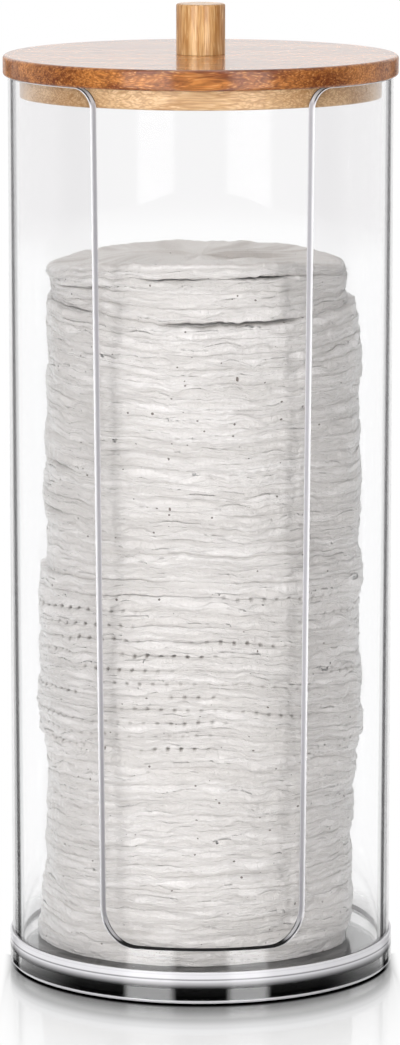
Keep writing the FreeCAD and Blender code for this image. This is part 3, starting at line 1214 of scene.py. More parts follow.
@dataclass
class CottonStack:
    """The stack of pads: each is a soft closed form of thin plies, with wavy faces and folds.

    Attributes:
        finish: the cotton.
        names: the pads' node names, from the floor up.
        floor: the height that the lowest pad lies on.
        pitch: the height of one pad.
        crimped: the meeting faces that carry crimp marks.
        sags: how some meeting faces leave the level; those between them follow.
        outlines: the stack's edges at some heights.
        cracks: where meeting faces gape.
        plies: how many plies one pad has.
        ply_steps: where one ply has rows of vertices, as shares of its height.
        face_rows: where a flat face has rows, as shares of its edge's radius.
        top_rows: the same for the top of the stack.
        crown: how much lower the edge of the top is than its middle.
        gap: the gap between two pads.
        widest: the largest radius that a pad may have, just inside the bore.
        face_shade: how dark the painted shade on a covered flat face is.
        crack_soft: how far a crack's ends are spread, in degrees.
        lift_waves: how high the long, middling and short waves of a meeting face are.
        ply_shifts: how far the long and the short waves move a ply out or in.
        lobe_depth: how far a whole pad's outline wanders.
        ply_sway: how far a ply's rows wander up and down, as a share of the pad's height.
        seam_base: how deep a seam is without its fold.
        crack_depth: how deep a seam is for each unit that it gapes.
        ply_shade: how dark a fold between plies is.
        seam_shade: how dark a seam's fold is.
        crack_shade: how dark a gaping seam is.
        crimp_shade: how dark a crimp mark is.
        crack_pinch: how far a gaping seam is pinched open.
        crimp_pinch: how far a crimp mark is.
        crimp_radius: the radius that the marks' pitch is measured on.
        top_waves: how high the soft folds of the stack's top are.
    """

    finish: bpy.types.Material
    names: list[str]
    floor: float
    pitch: float
    crimped: range
    sags: Sequence[Sag]
    outlines: Sequence[Outline]
    cracks: Sequence[Crack]
    columns: int = 600
    plies: int = 3
    ply_steps: tuple[float, ...] = (0.0, 0.06, 0.18, 0.5, 0.82)
    face_rows: tuple[float, ...] = (0.97, 0.82, 0.45)
    top_rows: tuple[float, ...] = (
        0.998, 0.992, 0.983, 0.97, 0.953, 0.93, 0.90, 0.86, 0.80, 0.72, 0.62, 0.50, 0.36, 0.20)
    crown: float = 1.1
    gap: float = 0.014
    widest: float = 34.6
    face_shade: float = 0.2
    crack_soft: float = 7.0
    lift_waves: tuple[float, float, float] = (0.20, 0.11, 0.05)
    ply_shifts: tuple[float, float] = (0.10, 0.035)
    lobe_depth: float = 0.34
    ply_sway: float = 0.10
    seam_base: float = 0.04
    crack_depth: float = 1.1
    ply_shade: float = 0.06
    seam_shade: float = 0.11
    crack_shade: float = 0.9
    crimp_shade: float = 1.3
    crack_pinch: float = 0.22
    crimp_pinch: float = 0.07
    top_waves: float = 2.2
    bulge_pitch: float = 10.2
    bulge_depth: float = 0.6
    ply_depth: float = 0.08
    seam_depth: float = 0.14
    crimp_radius: float = 32.5
    crimp_pitch: float = 2.72
    crimp_depth: float = 0.45
    hairs: int = 130
    hair_length: float = 1.2
    hair_radius: float = 0.03
    seed: int = 20
    angle: np.ndarray = field(init=False)
    lift: np.ndarray = field(init=False)
    fold: np.ndarray = field(init=False)
    gapes: np.ndarray = field(init=False)
    shift: np.ndarray = field(init=False)
    lobe: np.ndarray = field(init=False)
    sway: np.ndarray = field(init=False)
    bulge_phase: np.ndarray = field(init=False)

    def __post_init__(self) -> None:
        """Works out what the pads share: lifts, folds, cracks, and each ply's own shift."""
        count = len(self.names)
        self.angle = TURN * np.arange(self.columns) / self.columns
        layer = RingNoise(count + 1, self.columns, self.seed)
        ply = RingNoise(count * self.plies + 1, self.columns, self.seed + 1)
        self.lift = self.lifts(layer)
        fold = 0.22 + 0.55 * ply.make(3, 16, 0.2, 0.0, 5) + 0.26 * ply.make(17, 90, 0.3, 0.0, 6)
        self.fold = np.clip(fold, 0.02, 1.5)
        self.gapes = self.cracked(count)
        far, fine = self.ply_shifts
        self.shift = far * ply.make(2, 30, 0.4, 0.7, 7) + fine * ply.make(31, 140, 0.1, 0.4, 8)
        self.lobe = self.lobe_depth * layer.make(1, 10, 0.5, 1.2, 9)
        self.sway = self.ply_sway * ply.make(3, 30, 0.4, 0.0, 10)
        self.bulge_phase = 0.9 * np.sin(2 * self.angle + 1.0) + 0.6 * np.sin(5 * self.angle)

    def between(self, key: Sequence[float], values: Sequence[float], at: np.ndarray) -> np.ndarray:
        """Values between given ones, along straight lines."""
        return np.interp(at, np.array(key, float), np.array(values, float))

    def lifts(self, noise: RingNoise) -> np.ndarray:
        """How far each meeting face stands off its level height, by face and angle.

        Args:
            noise: makes patterns with one row for each face.

        Returns:
            An array of faces by columns. The first face lies flat on the floor.
        """
        face = np.arange(noise.rows)
        keys = [s.face for s in self.sags]
        a = self.angle[None]
        front = self.between(keys, [s.front for s in self.sags], face)[:, None]
        back = self.between(keys, [s.back for s in self.sags], face)[:, None]
        sides = self.between(keys, [s.sides for s in self.sags], face)[:, None]
        tilt = self.between(keys, [s.tilt for s in self.sags], face)[:, None]
        lift = front * (1 + np.cos(a)) / 2 + back * (1 - np.cos(a)) / 2
        lift = lift + sides * np.sin(a) ** 2 + tilt * np.sin(a)
        long, middling, short = self.lift_waves
        lift = lift + long * noise.make(3, 9, 0.5, 2.5, 1)
        lift = lift + middling * noise.make(8, 30, 0.5, 1.0, 2)
        lift = lift + short * noise.make(25, 90, 0.3, 0.4, 3)
        return lift * smooth_step(0, 4, face)[:, None]

    def cracked(self, count: int) -> np.ndarray:
        """How far each meeting face gapes.

        Args:
            count: how many pads there are.

        Returns:
            An array of faces by columns.
        """
        gape = np.zeros((count + 1, self.columns))
        degrees = (np.degrees(self.angle) + 180) % 360 - 180
        soft = self.crack_soft
        for crack in self.cracks:
            stretch = smooth_step(crack.start - soft, crack.start + soft, degrees)
            stretch = stretch * (1 - smooth_step(crack.end - soft, crack.end + soft, degrees))
            gape[crack.face] = np.maximum(gape[crack.face], crack.gape * stretch)
        return gape

    def reach(self, height: np.ndarray) -> np.ndarray:
        """The stack's smooth outer radius about the axis.

        Between two edges l and r of the outline, the section is a circle of radius (r - l) / 2
        whose centre stands (r + l) / 2 to the right, so at an angle a it reaches about
        (r - l) / 2 + (r + l) / 2 * sin a.

        Args:
            height: a height for each angle.

        Returns:
            The radius at each angle.
        """
        keys = [o.height for o in self.outlines]
        left = self.between(keys, [o.left for o in self.outlines], height)
        right = self.between(keys, [o.right for o in self.outlines], height)
        return (right - left) / 2 + (right + left) / 2 * np.sin(self.angle)

    def crimps(self, face: int) -> np.ndarray:
        """The crimp marks of one meeting face: short dashes on an even pitch.

        Args:
            face: the meeting face's number.

        Returns:
            How deep they are at each angle.
        """
        if face not in self.crimped:
            return np.zeros(self.columns)
        source = np.random.default_rng([self.seed, 900 + face])
        length = self.angle * self.crimp_radius
        phase = np.cos(TURN * (length / self.crimp_pitch + source.uniform()))
        run = RingNoise(1, self.columns, self.seed + 40 + face).make(2, 7, 0.2, 0.0, 0)[0]
        strength = np.clip(0.12 + 0.55 * run - 0.55 * np.sin(self.angle + 0.15), 0.0, 1.1)
        return smooth_step(0.50, 0.95, phase) * strength

    def pad(self, index: int) -> bpy.types.Object:
        """Makes one pad.

        Its edge is a row of plies. Going up across a ply, with t from 0 to 1, the radius comes out
        quickly from the fold below it (until t = 0.2), stays, and leans in slowly towards the fold
        above it (from t = 0.4), so each ply hangs over the next one like a thin lip. The two flat
        faces run on from the edge to the axis, and their waves fade towards it.

        Args:
            index: the pad's number from the floor, from 0.

        Returns:
            The pad's object.
        """
        surface = Surface()
        is_top = index == len(self.names) - 1
        steps = np.array(self.ply_steps)
        ply = np.repeat(np.arange(self.plies), len(steps))
        ply = np.append(ply, self.plies - 1)
        local = np.append(np.tile(steps, self.plies), 1.0)[:, None]
        fraction = ((ply + local[:, 0]) / self.plies)[:, None]
        low = self.floor + self.pitch * index + self.lift[index] + self.gap / 2
        high = self.floor + self.pitch * (index + 1) + self.lift[index + 1] - self.gap / 2
        depth, dark, pinch = self.folds(index)
        if is_top:
            high = high - self.crown
        under = 1 - smooth_step(0.0, 0.4, local)
        over = smooth_step(0.35, 1.0, local) ** 1.2
        first = index * self.plies + ply
        radius = self.reach((low + high) / 2)[None] + self.shift[first] + self.lobe[index]
        bulge = self.bulge_phase + np.pi * (self.pitch * (index + fraction)) / self.bulge_pitch
        radius = radius - self.bulge_depth * (1 - np.sqrt(np.abs(np.sin(bulge))))
        radius = radius - depth[ply] * under - depth[ply + 1] * over
        radius = np.minimum(radius, self.widest)
        sway = self.sway[first] * np.sin(np.pi * fraction)
        height = low + (high - low) * (fraction + sway)
        near_seam = (1 - 4 * fraction * (1 - fraction)) ** 3
        height = height + np.where(fraction < 0.5, pinch[0], -pinch[1]) * near_seam
        # the painted shade of the folds, which the material reads
        hollow = np.clip(dark[ply] * under + dark[ply + 1] * over, 0, 1)
        place = radius[..., None] * around(self.angle)[None]
        place[..., 2] = height
        level = self.floor + self.pitch * (index + fraction[:, 0])
        below = self.face(place[0], index, False)
        above = self.face(place[-1], index + 1, is_top)
        rows = np.concatenate([below[::-1], place, above])
        levels = np.concatenate([np.full(len(below), level[0]), level, np.full(len(above), level[-1])])
        hollows = np.concatenate([
            np.full((len(below), self.columns), self.face_shade),
            hollow,
            np.full((len(above), self.columns), 0.0 if is_top else self.face_shade),
        ])
        levels = levels[:, None] * MM
        grid = surface.add(rows, np.full(rows.shape, np.nan), ply_height=levels, hollow=hollows)
        surface.skin(grid, wrap_columns=True)
        for end, ring, flip in ((0, grid[0], True), (1, grid[-1], False)):
            centre = np.array([0.0, 0.0, self.centre_height(index + end) + self.gap * (0.5 - end)])
            tip = surface.add(centre, np.full(3, np.nan), ply_height=level[-end] * MM, hollow=0.0)
            surface.fan(int(tip), ring, flip)
        self.hair(surface, index, place, level)
        return surface.piece(self.names[index] + "_cotton", self.finish)

    def folds(self, index: int) -> tuple[np.ndarray, np.ndarray, np.ndarray]:
        """The folds of one pad, from the seam below it to the seam above it.

        Args:
            index: the pad's number.

        Returns:
            How deep each fold is, how dark its painted shade is, and how far the two seams are pinched
            open.
        """
        fold = self.fold[index * self.plies:(index + 1) * self.plies + 1]
        depth, dark = self.ply_depth * fold, self.ply_shade * fold
        pinch = np.zeros((2, self.columns))
        for side in (0, 1):
            row, face = -side, index + side
            gape, crimp = self.gapes[face], self.crimps(face)
            depth[row] = self.seam_depth * fold[row] + self.seam_base
            depth[row] = depth[row] + self.crack_depth * gape + self.crimp_depth * crimp
            dark[row] = self.seam_shade * fold[row] + self.crack_shade * gape + self.crimp_shade * crimp
            pinch[side] = self.crack_pinch * gape + self.crimp_pinch * crimp
        return depth, dark, pinch

    def centre_height(self, face: int) -> float:
        """The height of a meeting face on the axis: the mean of its edge."""
        return self.floor + self.pitch * face + float(self.lift[face].mean())

    def face(self, edge: np.ndarray, face: int, is_top: bool) -> np.ndarray:
        """Rows of a pad's flat face, from just inside its edge towards the axis.

        At a share s of the edge's radius the height is centre + (edge - centre) * s^2. The top of
        the stack also has a rounded edge, the last tenth of the radius, and soft folds: rings of
        noise that grow as s * (1 - s).

        Args:
            edge: places of the edge's vertices.
            face: the meeting face's number.
            is_top: whether it is the top of the stack.

        Returns:
            Places of the rows, outermost first.
        """
        share = np.array(self.top_rows if is_top else self.face_rows)[:, None]
        centre = self.centre_height(face)
        place = edge[None] * share[..., None]
        place[..., 2] = centre + (edge[None, :, 2] - centre) * share ** 2
        if is_top:
            place[..., 2] += self.crown * share ** 2
            place[..., 2] -= self.crown * (1 - np.sqrt(1 - np.clip((share - 0.9) / 0.1, 0, 1) ** 2))
            noise = RingNoise(len(share), self.columns, self.seed + 7)
            wave = noise.make(1, 7, 0.6, 2.0, 0) + 0.4 * noise.make(6, 22, 0.5, 2.0, 1)
            place[..., 2] += self.top_waves * wave * share * (1 - share)
        return place

    def hair(self, surface: Surface, index: int, edge: np.ndarray, level: np.ndarray) -> None:
        """Stray fibres on a pad's edge: thin three-sided cones that leave it at a slant.

        Each follows a gentle arc. Its ring k of 3 stands at root + d * s + b * s^2, with s from 0
        to 1, and its thickness falls evenly to a point.

        Args:
            surface: what the fibres are added to.
            index: the pad's number.
            edge: places of the pad's edge.
            level: the height of each row of the edge in the flat stack.
        """
        source = np.random.default_rng([self.seed, 300 + index])
        count = self.hairs
        column = source.integers(0, self.columns, count)
        row = source.integers(2, edge.shape[0] - 2, count)
        out, side = around(self.angle[column]), along(self.angle[column])
        up = np.array([0.0, 0.0, 1.0])
        root = edge[row, column] - 0.05 * out
        length = self.hair_length * source.uniform(0.35, 1.0, (count, 1))
        heading = out * source.uniform(0.4, 0.9, (count, 1)) + side * source.normal(0, 0.6, (count, 1))
        heading = heading + up * source.normal(0, 0.4, (count, 1))
        bend = side * source.normal(0, 0.4, (count, 1)) + up * source.normal(-0.1, 0.35, (count, 1))
        share = np.linspace(0, 1, 4)[:, None, None]
        spine = root + length * (heading * share + bend * share ** 2)
        turn = TURN * np.arange(3)[None, :, None] / 3
        first = np.cross(heading, up)
        first /= np.linalg.norm(first, axis=1, keepdims=True)
        second = np.cross(first, heading)
        second /= np.linalg.norm(second, axis=1, keepdims=True)
        ring = first[:, None] * np.cos(turn) + second[:, None] * np.sin(turn)
        thick = self.hair_radius * (1 - 0.75 * share[:-1, :, :, None])
        tube = spine[:-1, :, None] + ring[None] * thick
        where = level[row] * MM
        rings = surface.add(tube, np.full(tube.shape, np.nan), ply_height=where[None, :, None], hollow=0.0)
        tips = surface.add(spine[-1], np.full((count, 3), np.nan), ply_height=where, hollow=0.0)
        wound = np.concatenate([rings, rings[:, :, :1]], axis=2)
        lower, upper = wound[:-1], wound[1:]
        faces = np.stack(
            [lower[:, :, :-1], lower[:, :, 1:], upper[:, :, 1:], upper[:, :, :-1]], axis=-1)
        surface.quads.append(faces.reshape(-1, 4)[:, ::-1])
        caps = np.stack([wound[-1, :, :-1], wound[-1, :, 1:], np.repeat(tips[:, None], 3, 1)], axis=-1)
        surface.triangles.append(caps.reshape(-1, 3)[:, ::-1])
        surface.triangles.append(rings[0])


# ---------------------------------------------------------------- stage


@dataclass(frozen=True)
class Lamp:
    """One softbox that faces the part.

    Attributes:
        name: the lamp's name.
        azimuth: its direction in degrees, from the front towards +X.
        height: its height in metres.
        distance: its distance from the axis in metres.
        size: its width and height in metres.
        power: its power in watts.
    """

    name: str
    azimuth: float
    height: float
    distance: float
    size: tuple[float, float]
    power: float


@dataclass
class Studio:
    """The table, the surroundings, the lamps and the camera.

    Lengths are in metres, but for lens, sensor, foot and shadow, which are in millimetres.

    Attributes:
        focus: what the lamps face.
        softbox_gloss: how bright the softboxes are where the plastic mirrors them.
        softbox_spans: from where to where the two mirrored softboxes reach, in degrees.
        flag_span: the same for the two flags, counted either way from the front.
        room_span: where the dark room gives way to the white backdrop, counted like that.
        window_soft: how far such an end is spread to either side, in degrees.
        table_bounce: how much light the table sends up to dull surfaces near it.
        foot: the radius of the part's foot.
        shadow: distances in front of the foot, and the brightness of the painted shadow on the table there.
        lamps: the softboxes that light the part.
    """

    focus: tuple[float, float, float] = (0.0, 0.0, 0.0912)
    camera_distance: float = 1.0642
    camera_height: float = 0.273
    camera_pitch: float = math.radians(9.69)
    camera_azimuth: float = math.radians(-0.64)
    camera_shift: float = -0.00067
    lens: float = 181.41
    sensor: float = 36.0
    softbox_gloss: float = 8.2
    table_bounce: float = 0.25
    foot: float = 39.2
    softbox_spans: tuple[tuple[float, float], tuple[float, float]] = ((-46.0, -17.5), (16.5, 40.0))
    flag_span: tuple[float, float] = (144.0, 159.0)
    room_span: tuple[float, float] = (78.0, 112.0)
    window_soft: float = 3.0
    lamps: tuple[Lamp, ...] = (
        Lamp("softbox_left", -42.0, 0.42, 1.3, (0.46, 0.8), 8.0),
        Lamp("softbox_right", 39.0, 0.42, 1.3, (0.38, 0.8), 4.9),
        Lamp("softbox_front", -4.0, 0.10, 1.3, (0.7, 0.8), 9.2),
        Lamp("softbox_back", 180.0, 0.6, 1.2, (0.8, 0.5), 15.5),
        Lamp("edge_light_left", -125.0, 0.4, 0.9, (0.3, 0.8), 0.8),
        Lamp("edge_light_right", 125.0, 0.4, 0.9, (0.3, 0.8), 0.4),
        Lamp("softbox_top", 0.0, 1.3, 0.0, (1.2, 1.2), 4.0),
    )
    shadow: Stops = (
        (0.0, 0.0), (1.9, 0.0), (2.6, 0.05), (3.2, 0.18), (5.5, 0.25), (8.5, 0.39), (11.0, 0.50),
        (13.2, 0.59), (15.5, 0.67), (20.0, 0.80), (25.0, 0.865), (31.0, 0.90), (40.0, 0.94),
        (52.0, 0.975), (70.0, 1.0))

    def camera(self) -> None:
        """Sets up the camera, a long lens a little above the object."""
        data = bpy.data.cameras.new("camera")
        data.sensor_width = self.sensor
        data.sensor_fit = "AUTO"
        data.lens = self.lens
        data.shift_x = self.camera_shift
        data.clip_start, data.clip_end = 0.05, 50.0
        made = bpy.data.objects.new("camera", data)
        a = self.camera_azimuth
        made.location = (self.camera_distance * math.sin(a), -self.camera_distance * math.cos(a),
                         self.camera_height)
        made.rotation_euler = (math.pi / 2 - self.camera_pitch, 0.0, a)
        bpy.context.scene.collection.objects.link(made)
        bpy.context.scene.camera = made

    def table(self) -> None:
        """Makes the glossy white table top, a wide flat disc whose rows get longer outwards."""
        surface = Surface()
        radius = np.array([0.02, 0.05, 0.1, 0.2, 0.4, 0.8, 1.6, 3.2, 6.0]) / MM
        angle = TURN * np.arange(96) / 96
        place = radius[:, None, None] * around(angle)[None]
        up = np.zeros_like(place)
        up[..., 2] = 1.0
        grid = surface.add(place, up)
        surface.skin(grid, wrap_columns=True, flip=True)
        tip = surface.add(np.zeros(3), np.array([0.0, 0.0, 1.0]))
        surface.fan(int(tip), grid[0])
        made = surface.piece("table_top", self.table_material())

    def table_material(self) -> bpy.types.Material:
        """Glossy white, lit evenly from below its skin but for a painted soft shadow in front of the part.

        The painted shadow stands for that of a broad light behind and reaches towards -Y: at a distance d
        in front of the foot's circle, -y - sqrt(foot^2 - x^2), it follows the stops in shadow. Under the
        foot the table is painted almost black, for the shade there. Rays bent by the clear plastic see the
        table only close to the base, and mirrored rays don't see it.

        Returns:
            The material.
        """
        material, w, output = new_material("white_table")
        place = w.add("TexCoord").outputs["Object"]
        parts = w.add("SeparateXYZ", {0: place}).outputs
        distance = w.add("VectorMath", {0: place}, operation="LENGTH").outputs["Value"]
        square = w.maths("SUBTRACT", (self.foot * MM) ** 2, w.maths("MULTIPLY", parts[0], parts[0]))
        chord = w.maths("SQRT", w.maths("MAXIMUM", square, 0.0))
        ahead = w.maths("SUBTRACT", w.maths("MULTIPLY", parts[1], -1.0), chord)
        aside = w.ramp(w.maths("ABSOLUTE", parts[0]), 0.0375, 0.041)
        lit = w.maths("MAXIMUM", aside, w.ramp(parts[1], -0.002, 0.002))
        under = w.maths("LESS_THAN", distance, self.foot * MM)
        # painted shadow on the table in front of the foot
        painted_shadow = w.maths("MAXIMUM", w.steps(ahead, self.shadow), lit)
        # painted shade: almost black under the foot
        painted_shadow = w.maths("MULTIPLY", painted_shadow, w.maths("SUBTRACT", 1.0, w.maths("MULTIPLY", under, 0.98)))
        painted_shadow = w.grey(painted_shadow)
        bounce = w.ramp(distance, 0.26, 0.06, 0.0, self.table_bounce)
        bounce = w.maths("MULTIPLY", bounce, w.maths("SUBTRACT", 1.0, under))
        bounce = w.maths("MULTIPLY", bounce, w.add("LightPath").outputs["Is Diffuse Ray"])
        dull = w.add("BsdfDiffuse", {"Color": w.mix(0.3, painted_shadow, rgba(BLACK))})
        lift = w.add("Emission", {"Color": rgba(WHITE), "Strength": bounce})
        white = w.add("AddShader", {0: dull.outputs[0], 1: lift.outputs[0]})
        glow = w.add("Emission", {"Color": painted_shadow, "Strength": 1.0})
        mirror = w.add("BsdfGlossy", {"Color": rgba(WHITE), "Roughness": 0.08})
        fresnel = w.add("Fresnel", {"IOR": 1.3}).outputs[0]
        shine = w.maths("MULTIPLY", fresnel, w.ramp(distance, 0.07, 0.10, 1.0, 0.0))
        shine = w.maths("MULTIPLY", shine, w.maths("MAXIMUM", w.ramp(ahead, 0.0015, 0.004), lit))
        polished = w.add("MixShader", {0: shine, 1: glow.outputs[0], 2: mirror.outputs[0]})
        clear = w.add("BsdfTransparent")
        path = w.add("LightPath").outputs
        seen = w.add("MixShader", {0: path["Is Camera Ray"], 1: white.outputs[0], 2: polished.outputs[0]})
        bent = w.maths("MULTIPLY", path["Is Transmission Ray"], w.ramp(distance, 0.055, 0.075))
        mirrored = w.maths("SUBTRACT", path["Is Glossy Ray"], path["Is Transmission Ray"], clamp=True)
        gone = w.maths("MAXIMUM", bent, mirrored)
        surface = w.add("MixShader", {0: gone, 1: seen.outputs[0], 2: clear.outputs[0]})
        w.tree.links.new(surface.outputs[0], output.inputs["Surface"])
        return material

    def surroundings(self) -> None:
        """The world: a white backdrop, a dark room in front with two bright softboxes, and two flags.

        Clear and varnished surfaces mirror and bend it. The flags are narrow black boards behind
        the part, at its left and right, which draw the dark lines along the tube's outline. Rays
        bent by the plastic don't see the flags, and those that go steeply down see white. A ray
        that carries light to a dull surface sees a plain soft grey.
        """
        world = bpy.data.worlds.new("studio")
        world.use_nodes = True
        world.node_tree.nodes.clear()
        w = Wiring(world.node_tree)
        heading = w.add("SeparateXYZ", {0: w.add("TexCoord").outputs["Generated"]}).outputs
        azimuth = w.maths("ARCTAN2", heading[0], w.maths("MULTIPLY", heading[1], -1.0))
        degrees = w.maths("MULTIPLY", azimuth, 180 / math.pi)
        left, right = (self.window(w, degrees, *ends) for ends in self.softbox_spans)
        strips = w.maths("MAXIMUM", left, right)
        wide = w.maths("ABSOLUTE", degrees)
        path = w.add("LightPath").outputs
        unbent = w.maths("SUBTRACT", 1.0, path["Is Transmission Ray"])
        flags = w.maths("MULTIPLY", self.window(w, wide, *self.flag_span), unbent)
        behind = w.ramp(wide, *self.room_span, 0.03, 1.0)
        behind = w.maths("MULTIPLY", behind, w.maths("SUBTRACT", 1.0, flags))
        above = w.ramp(heading[2], 0.0, 0.03)
        below = w.ramp(heading[2], -0.22, -0.14, 1.0, 0.0)
        below = w.maths("MULTIPLY", below, path["Is Transmission Ray"])
        room = w.maths("MAXIMUM", w.maths("MAXIMUM", behind, above), below)
        tone = w.maths("ADD", room, w.maths("MULTIPLY", strips, self.softbox_gloss))
        seen = w.mix(path["Is Camera Ray"], tone, rgba(WHITE))
        soft = w.ramp(heading[2], -0.4, 0.9, 0.12, 0.22)
        soft = w.maths("MULTIPLY", soft, w.ramp(heading[0], -1.0, 1.0, 1.1, 0.7))
        final = w.mix(path["Is Diffuse Ray"], seen, soft)
        background = w.add("Background", {"Color": final, "Strength": 1.0})
        output = w.add("OutputWorld", {"Surface": background.outputs[0]})
        output.is_active_output = True
        world.cycles.sampling_method = "NONE"
        bpy.context.scene.world = world

    def window(
        self, w: Wiring, value: bpy.types.NodeSocket, low: float, high: float
    ) -> bpy.types.NodeSocket:
        """1 between two limits and 0 outside them, with soft ends.

        Args:
            w: the wiring that it is added to.
            value: what is compared with the limits.
            low: the lower limit.
            high: the upper limit.

        Returns:
            A share from 0 to 1.
        """
        rise = w.ramp(value, low - self.window_soft, low + self.window_soft)
        fall = w.ramp(value, high - self.window_soft, high + self.window_soft, 1.0, 0.0)
        return w.maths("MULTIPLY", rise, fall)

    def light(self, lamp: Lamp) -> None:
        """Hangs one softbox, which dull surfaces see and mirrored or bent rays don't.

        Args:
            lamp: its place, size and power.
        """
        data = bpy.data.lights.new(lamp.name, "AREA")
        data.shape = "RECTANGLE"
        data.size, data.size_y = lamp.size
        data.energy = lamp.power
        made = bpy.data.objects.new(lamp.name, data)
        a = math.radians(lamp.azimuth)
        made.location = (lamp.distance * math.sin(a), -lamp.distance * math.cos(a), lamp.height)
        pitch = math.atan2(lamp.height - self.focus[2], lamp.distance)
        made.rotation_euler = (math.pi / 2 - pitch, 0.0, a)
        made.visible_camera = False
        made.visible_glossy = False
        made.visible_transmission = False
        bpy.context.scene.collection.objects.link(made)

    def build(self) -> None:
        """Sets up everything that isn't part of the object."""
        self.camera()
        self.table()
        self.surroundings()
        for lamp in self.lamps:
            self.light(lamp)
        scene = bpy.context.scene
        scene.view_settings.view_transform = "Standard"
        scene.view_settings.look = "None"
        scene.cycles.use_denoising = True


# ---------------------------------------------------------------- the whole part


def span(node: str) -> tuple[np.ndarray, np.ndarray]:
    """The lowest and highest corner of a CAD node, in millimetres."""
    low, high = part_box(node)
    return np.array(low) / MM, np.array(high) / MM


def dress(piece: bpy.types.Object, body: str, node: str) -> bpy.types.Object:
    """Puts a piece on its body in place of a CAD node.

    Args:
        piece: the object.
        body: the body that it rides on.
        node: the CAD node that it replaces.

    Returns:
        The same object.
    """
    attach(piece, body)
    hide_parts(node)
    log.info("%s replaces %s on body %s: %d faces", piece.name, node, body, len(piece.data.polygons))
    return piece


def clear_parts(waves: bpy.types.NodeTree) -> None:
    """Builds the tube and the base.

    Args:
        waves: the moulding's waves.
    """
    tube_low, tube_high = span("tube")
    _, base_high = span("base")
    outer = tube_high[0]
    bore = outer - TUBE_WALL
    seat = tube_low[2]
    floor = span("pad_01")[0][2] - PAD_GAP
    tube_plastic = ClearPlastic(
        name="clear_tube_plastic",
        tint=(0.985, 0.985, 0.988),
        painted_band_low=(0.02, 0.02, 0.02),
        painted_band_high=(0.19, 0.185, 0.19),
        shadow_pass=0.975,
        mirror_low=0.4,
        mirror_high=0.12,
        lid_shade_from=150.0,
    )
    base_plastic = ClearPlastic(
        name="clear_base_plastic",
        tint=(0.99, 0.99, 0.99),
        painted_band_low=(0.03, 0.03, 0.03),
        painted_band_high=(0.03, 0.03, 0.03),
        shadow_pass=0.10,
        skin_radius=outer,
        # painted light and shade on the base's skin: a bright foot line, a pale lip band, shade below it
        skin_paint=((0.0, 1.0), (0.6, 1.0), (0.75, 0.0), (3.0, 0.0), (3.3, 0.95), (6.5, 0.95)),
        skin_paint_tone=(
            (0.0, 1.0), (3.0, 0.0), (3.35, 0.05), (3.7, 0.2), (4.0, 0.42), (4.3, 0.64), (4.55, 0.88),
            (4.75, 0.98), (4.88, 0.38), (5.02, 0.38), (5.2, 1.0), (5.9, 1.0), (6.05, 0.85),
            (6.25, 1.0), (6.5, 0.9)),
    )
    tube = ClearTube(
        finish=tube_plastic.material(waves),
        outer=outer,
        bore=bore,
        seat=seat,
        rim=tube_high[2],
        sill=floor + SLOT_SILL,
    )
    base = ClearBase(
        finish=base_plastic.material(waves),
        radius=base_high[0],
        lip=base_high[2],
        tube_outer=outer,
        tube_bore=bore,
        seat=seat,
        floor=floor,
    )
    dress(tube.build(), "holder", "tube")
    dress(base.build(), "holder", "base")


def lid_parts() -> None:
    """Builds the lid's wood, and gives its screw a steel finish."""
    grain = bamboo_group()
    disc = BambooFinish(
        name="bamboo_disc_wood",
        pale=(0.55, 0.205, 0.048),
        deep=(0.16, 0.037, 0.007),
        pore=(0.05, 0.013, 0.004),
        fibre=(0.74, 0.40, 0.15),
        grain=Grain.ALONG_X,
        strip_width=5.0,
        pore_amount=0.45,
        varnish=0.9,
        edge_varnish=0.25,
        shift=(3.0, 0.0, 7.0),
    )
    plug = BambooFinish(
        name="bamboo_plug_wood",
        pale=(0.70, 0.47, 0.27),
        deep=(0.46, 0.255, 0.11),
        pore=(0.26, 0.12, 0.05),
        fibre=(0.86, 0.66, 0.44),
        grain=Grain.ALONG_X,
        strip_width=6.0,
        pore_amount=0.4,
        varnish=0.1,
        edge_varnish=0.1,
        shift=(31.0, 4.0, 2.0),
    )
    knob = BambooFinish(
        name="bamboo_knob_wood",
        pale=(0.77, 0.475, 0.215),
        deep=(0.43, 0.195, 0.055),
        pore=(0.24, 0.09, 0.025),
        fibre=(0.88, 0.66, 0.38),
        grain=Grain.UPRIGHT,
        strip_width=2.5,
        pore_amount=0.35,
        varnish=0.5,
        edge_varnish=0.3,
        shift=(12.0, 9.0, 40.0),
    )
    disc_low, disc_high = span("lid_disc")
    plug_low, plug_high = span("lid_plug")
    _, knob_high = span("knob")
    lid = BambooLid(
        disc_finish=disc.material(grain),
        plug_finish=plug.material(grain),
        knob_finish=knob.material(grain),
        disc_radius=disc_high[0],
        disc_bottom=disc_low[2],
        disc_top=disc_high[2],
        plug_radius=plug_high[0],
        plug_bottom=plug_low[2],
        knob_radius=knob_high[0],
        knob_top=knob_high[2],
    )
    dress(lid.disc(), "lid", "lid_disc")
    dress(lid.plug(), "lid", "lid_plug")
    dress(lid.knob(), "lid", "knob")
    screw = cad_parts["knob_screw"]
    screw.data.materials.clear()
    screw.data.materials.append(SteelFinish().material())
    log.info("knob_screw keeps its CAD shape and gets a steel finish")


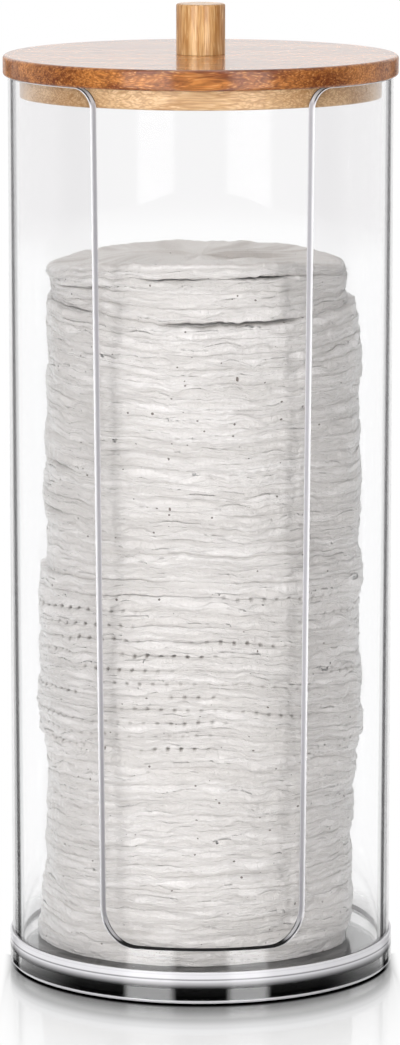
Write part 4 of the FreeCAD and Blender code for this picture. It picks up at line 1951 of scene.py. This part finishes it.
def pad_parts() -> None:
    """Builds every cotton pad."""
    names = sorted(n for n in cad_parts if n.startswith("pad_"))
    floor = span(names[0])[0][2] - PAD_GAP
    pitch = (span(names[-1])[1][2] - floor) / len(names)
    # The meeting faces from which and up to which the pads are crimped
    crimp_first, crimp_end = 14, 26
    sags = [
        Sag(0, 0.0, 0.0, 0.0, 0.0),
        Sag(3, 0.3, 0.0, 0.6, 0.0),
        Sag(9, 0.9, 0.0, -1.2, 0.9),
        Sag(11.5, 1.2, 0.0, -1.2, -0.3),
        Sag(crimp_first, 3.0, 0.0, -1.9, -1.7),
        Sag(20, 1.5, 0.0, -2.4, -0.9),
        Sag(23.5, 1.4, 0.0, -2.4, -0.8),
        Sag(crimp_end, 1.6, 0.0, -0.5, 0.0),
        Sag(30, 0.6, 0.0, 0.2, -1.2),
        Sag(32.5, 0.5, 0.0, 0.5, -1.5),
        Sag(38, -0.1, 0.0, 1.5, -0.9),
        Sag(44, -0.3, 0.0, 2.4, -0.5),
        Sag(45, 0.0, -0.2, 1.2, -0.2),
        Sag(46, 0.2, -0.6, 0.2, 0.0),
        Sag(47, 0.1, -1.2, -1.2, 0.2),
        Sag(48, 0.7, -1.9, -1.9, 0.2),
    ]
    outlines = [
        Outline(5.4, -33.7, 30.5), Outline(11.8, -33.3, 31.3), Outline(22.4, -32.6, 31.7),
        Outline(33.0, -31.9, 31.2), Outline(46.8, -31.8, 32.2), Outline(48.9, -32.9, 33.2),
        Outline(54.2, -33.4, 33.6), Outline(64.7, -33.4, 32.9), Outline(75.0, -33.7, 32.3),
        Outline(81.4, -33.5, 32.8), Outline(83.5, -32.1, 32.7), Outline(91.8, -31.6, 32.9),
        Outline(106.3, -32.1, 33.1), Outline(116.7, -31.7, 32.8), Outline(129.0, -31.6, 32.1),
        Outline(136.2, -32.0, 31.3), Outline(139.3, -30.4, 29.7), Outline(143.4, -31.8, 29.7),
        Outline(148.0, -31.2, 28.6),
    ]
    cracks = [
        Crack(44, -12, 38, 1.0),
        Crack(44, -64, -48, 0.35),
        Crack(47, -20, -2, 0.5),
        Crack(47, 14, 34, 0.7),
        Crack(46, -70, -40, 0.35),
        Crack(33, -75, -55, 0.4),
        Crack(30, -78, -60, 0.4),
    ]
    stack = CottonStack(
        finish=CottonFinish().material(),
        names=names,
        floor=floor,
        pitch=pitch,
        crimped=range(crimp_first, crimp_end),
        sags=sags,
        outlines=outlines,
        cracks=cracks,
    )
    for index, name in enumerate(names):
        pad = dress(stack.pad(index), "pads", name)


def main() -> None:
    """Builds the part piece by piece and then its surroundings."""
    logging.basicConfig(level=logging.INFO, format="%(message)s")
    clear_parts(moulding_group())
    lid_parts()
    pad_parts()
    Studio().build()


if __name__ == "__main__":
    main()
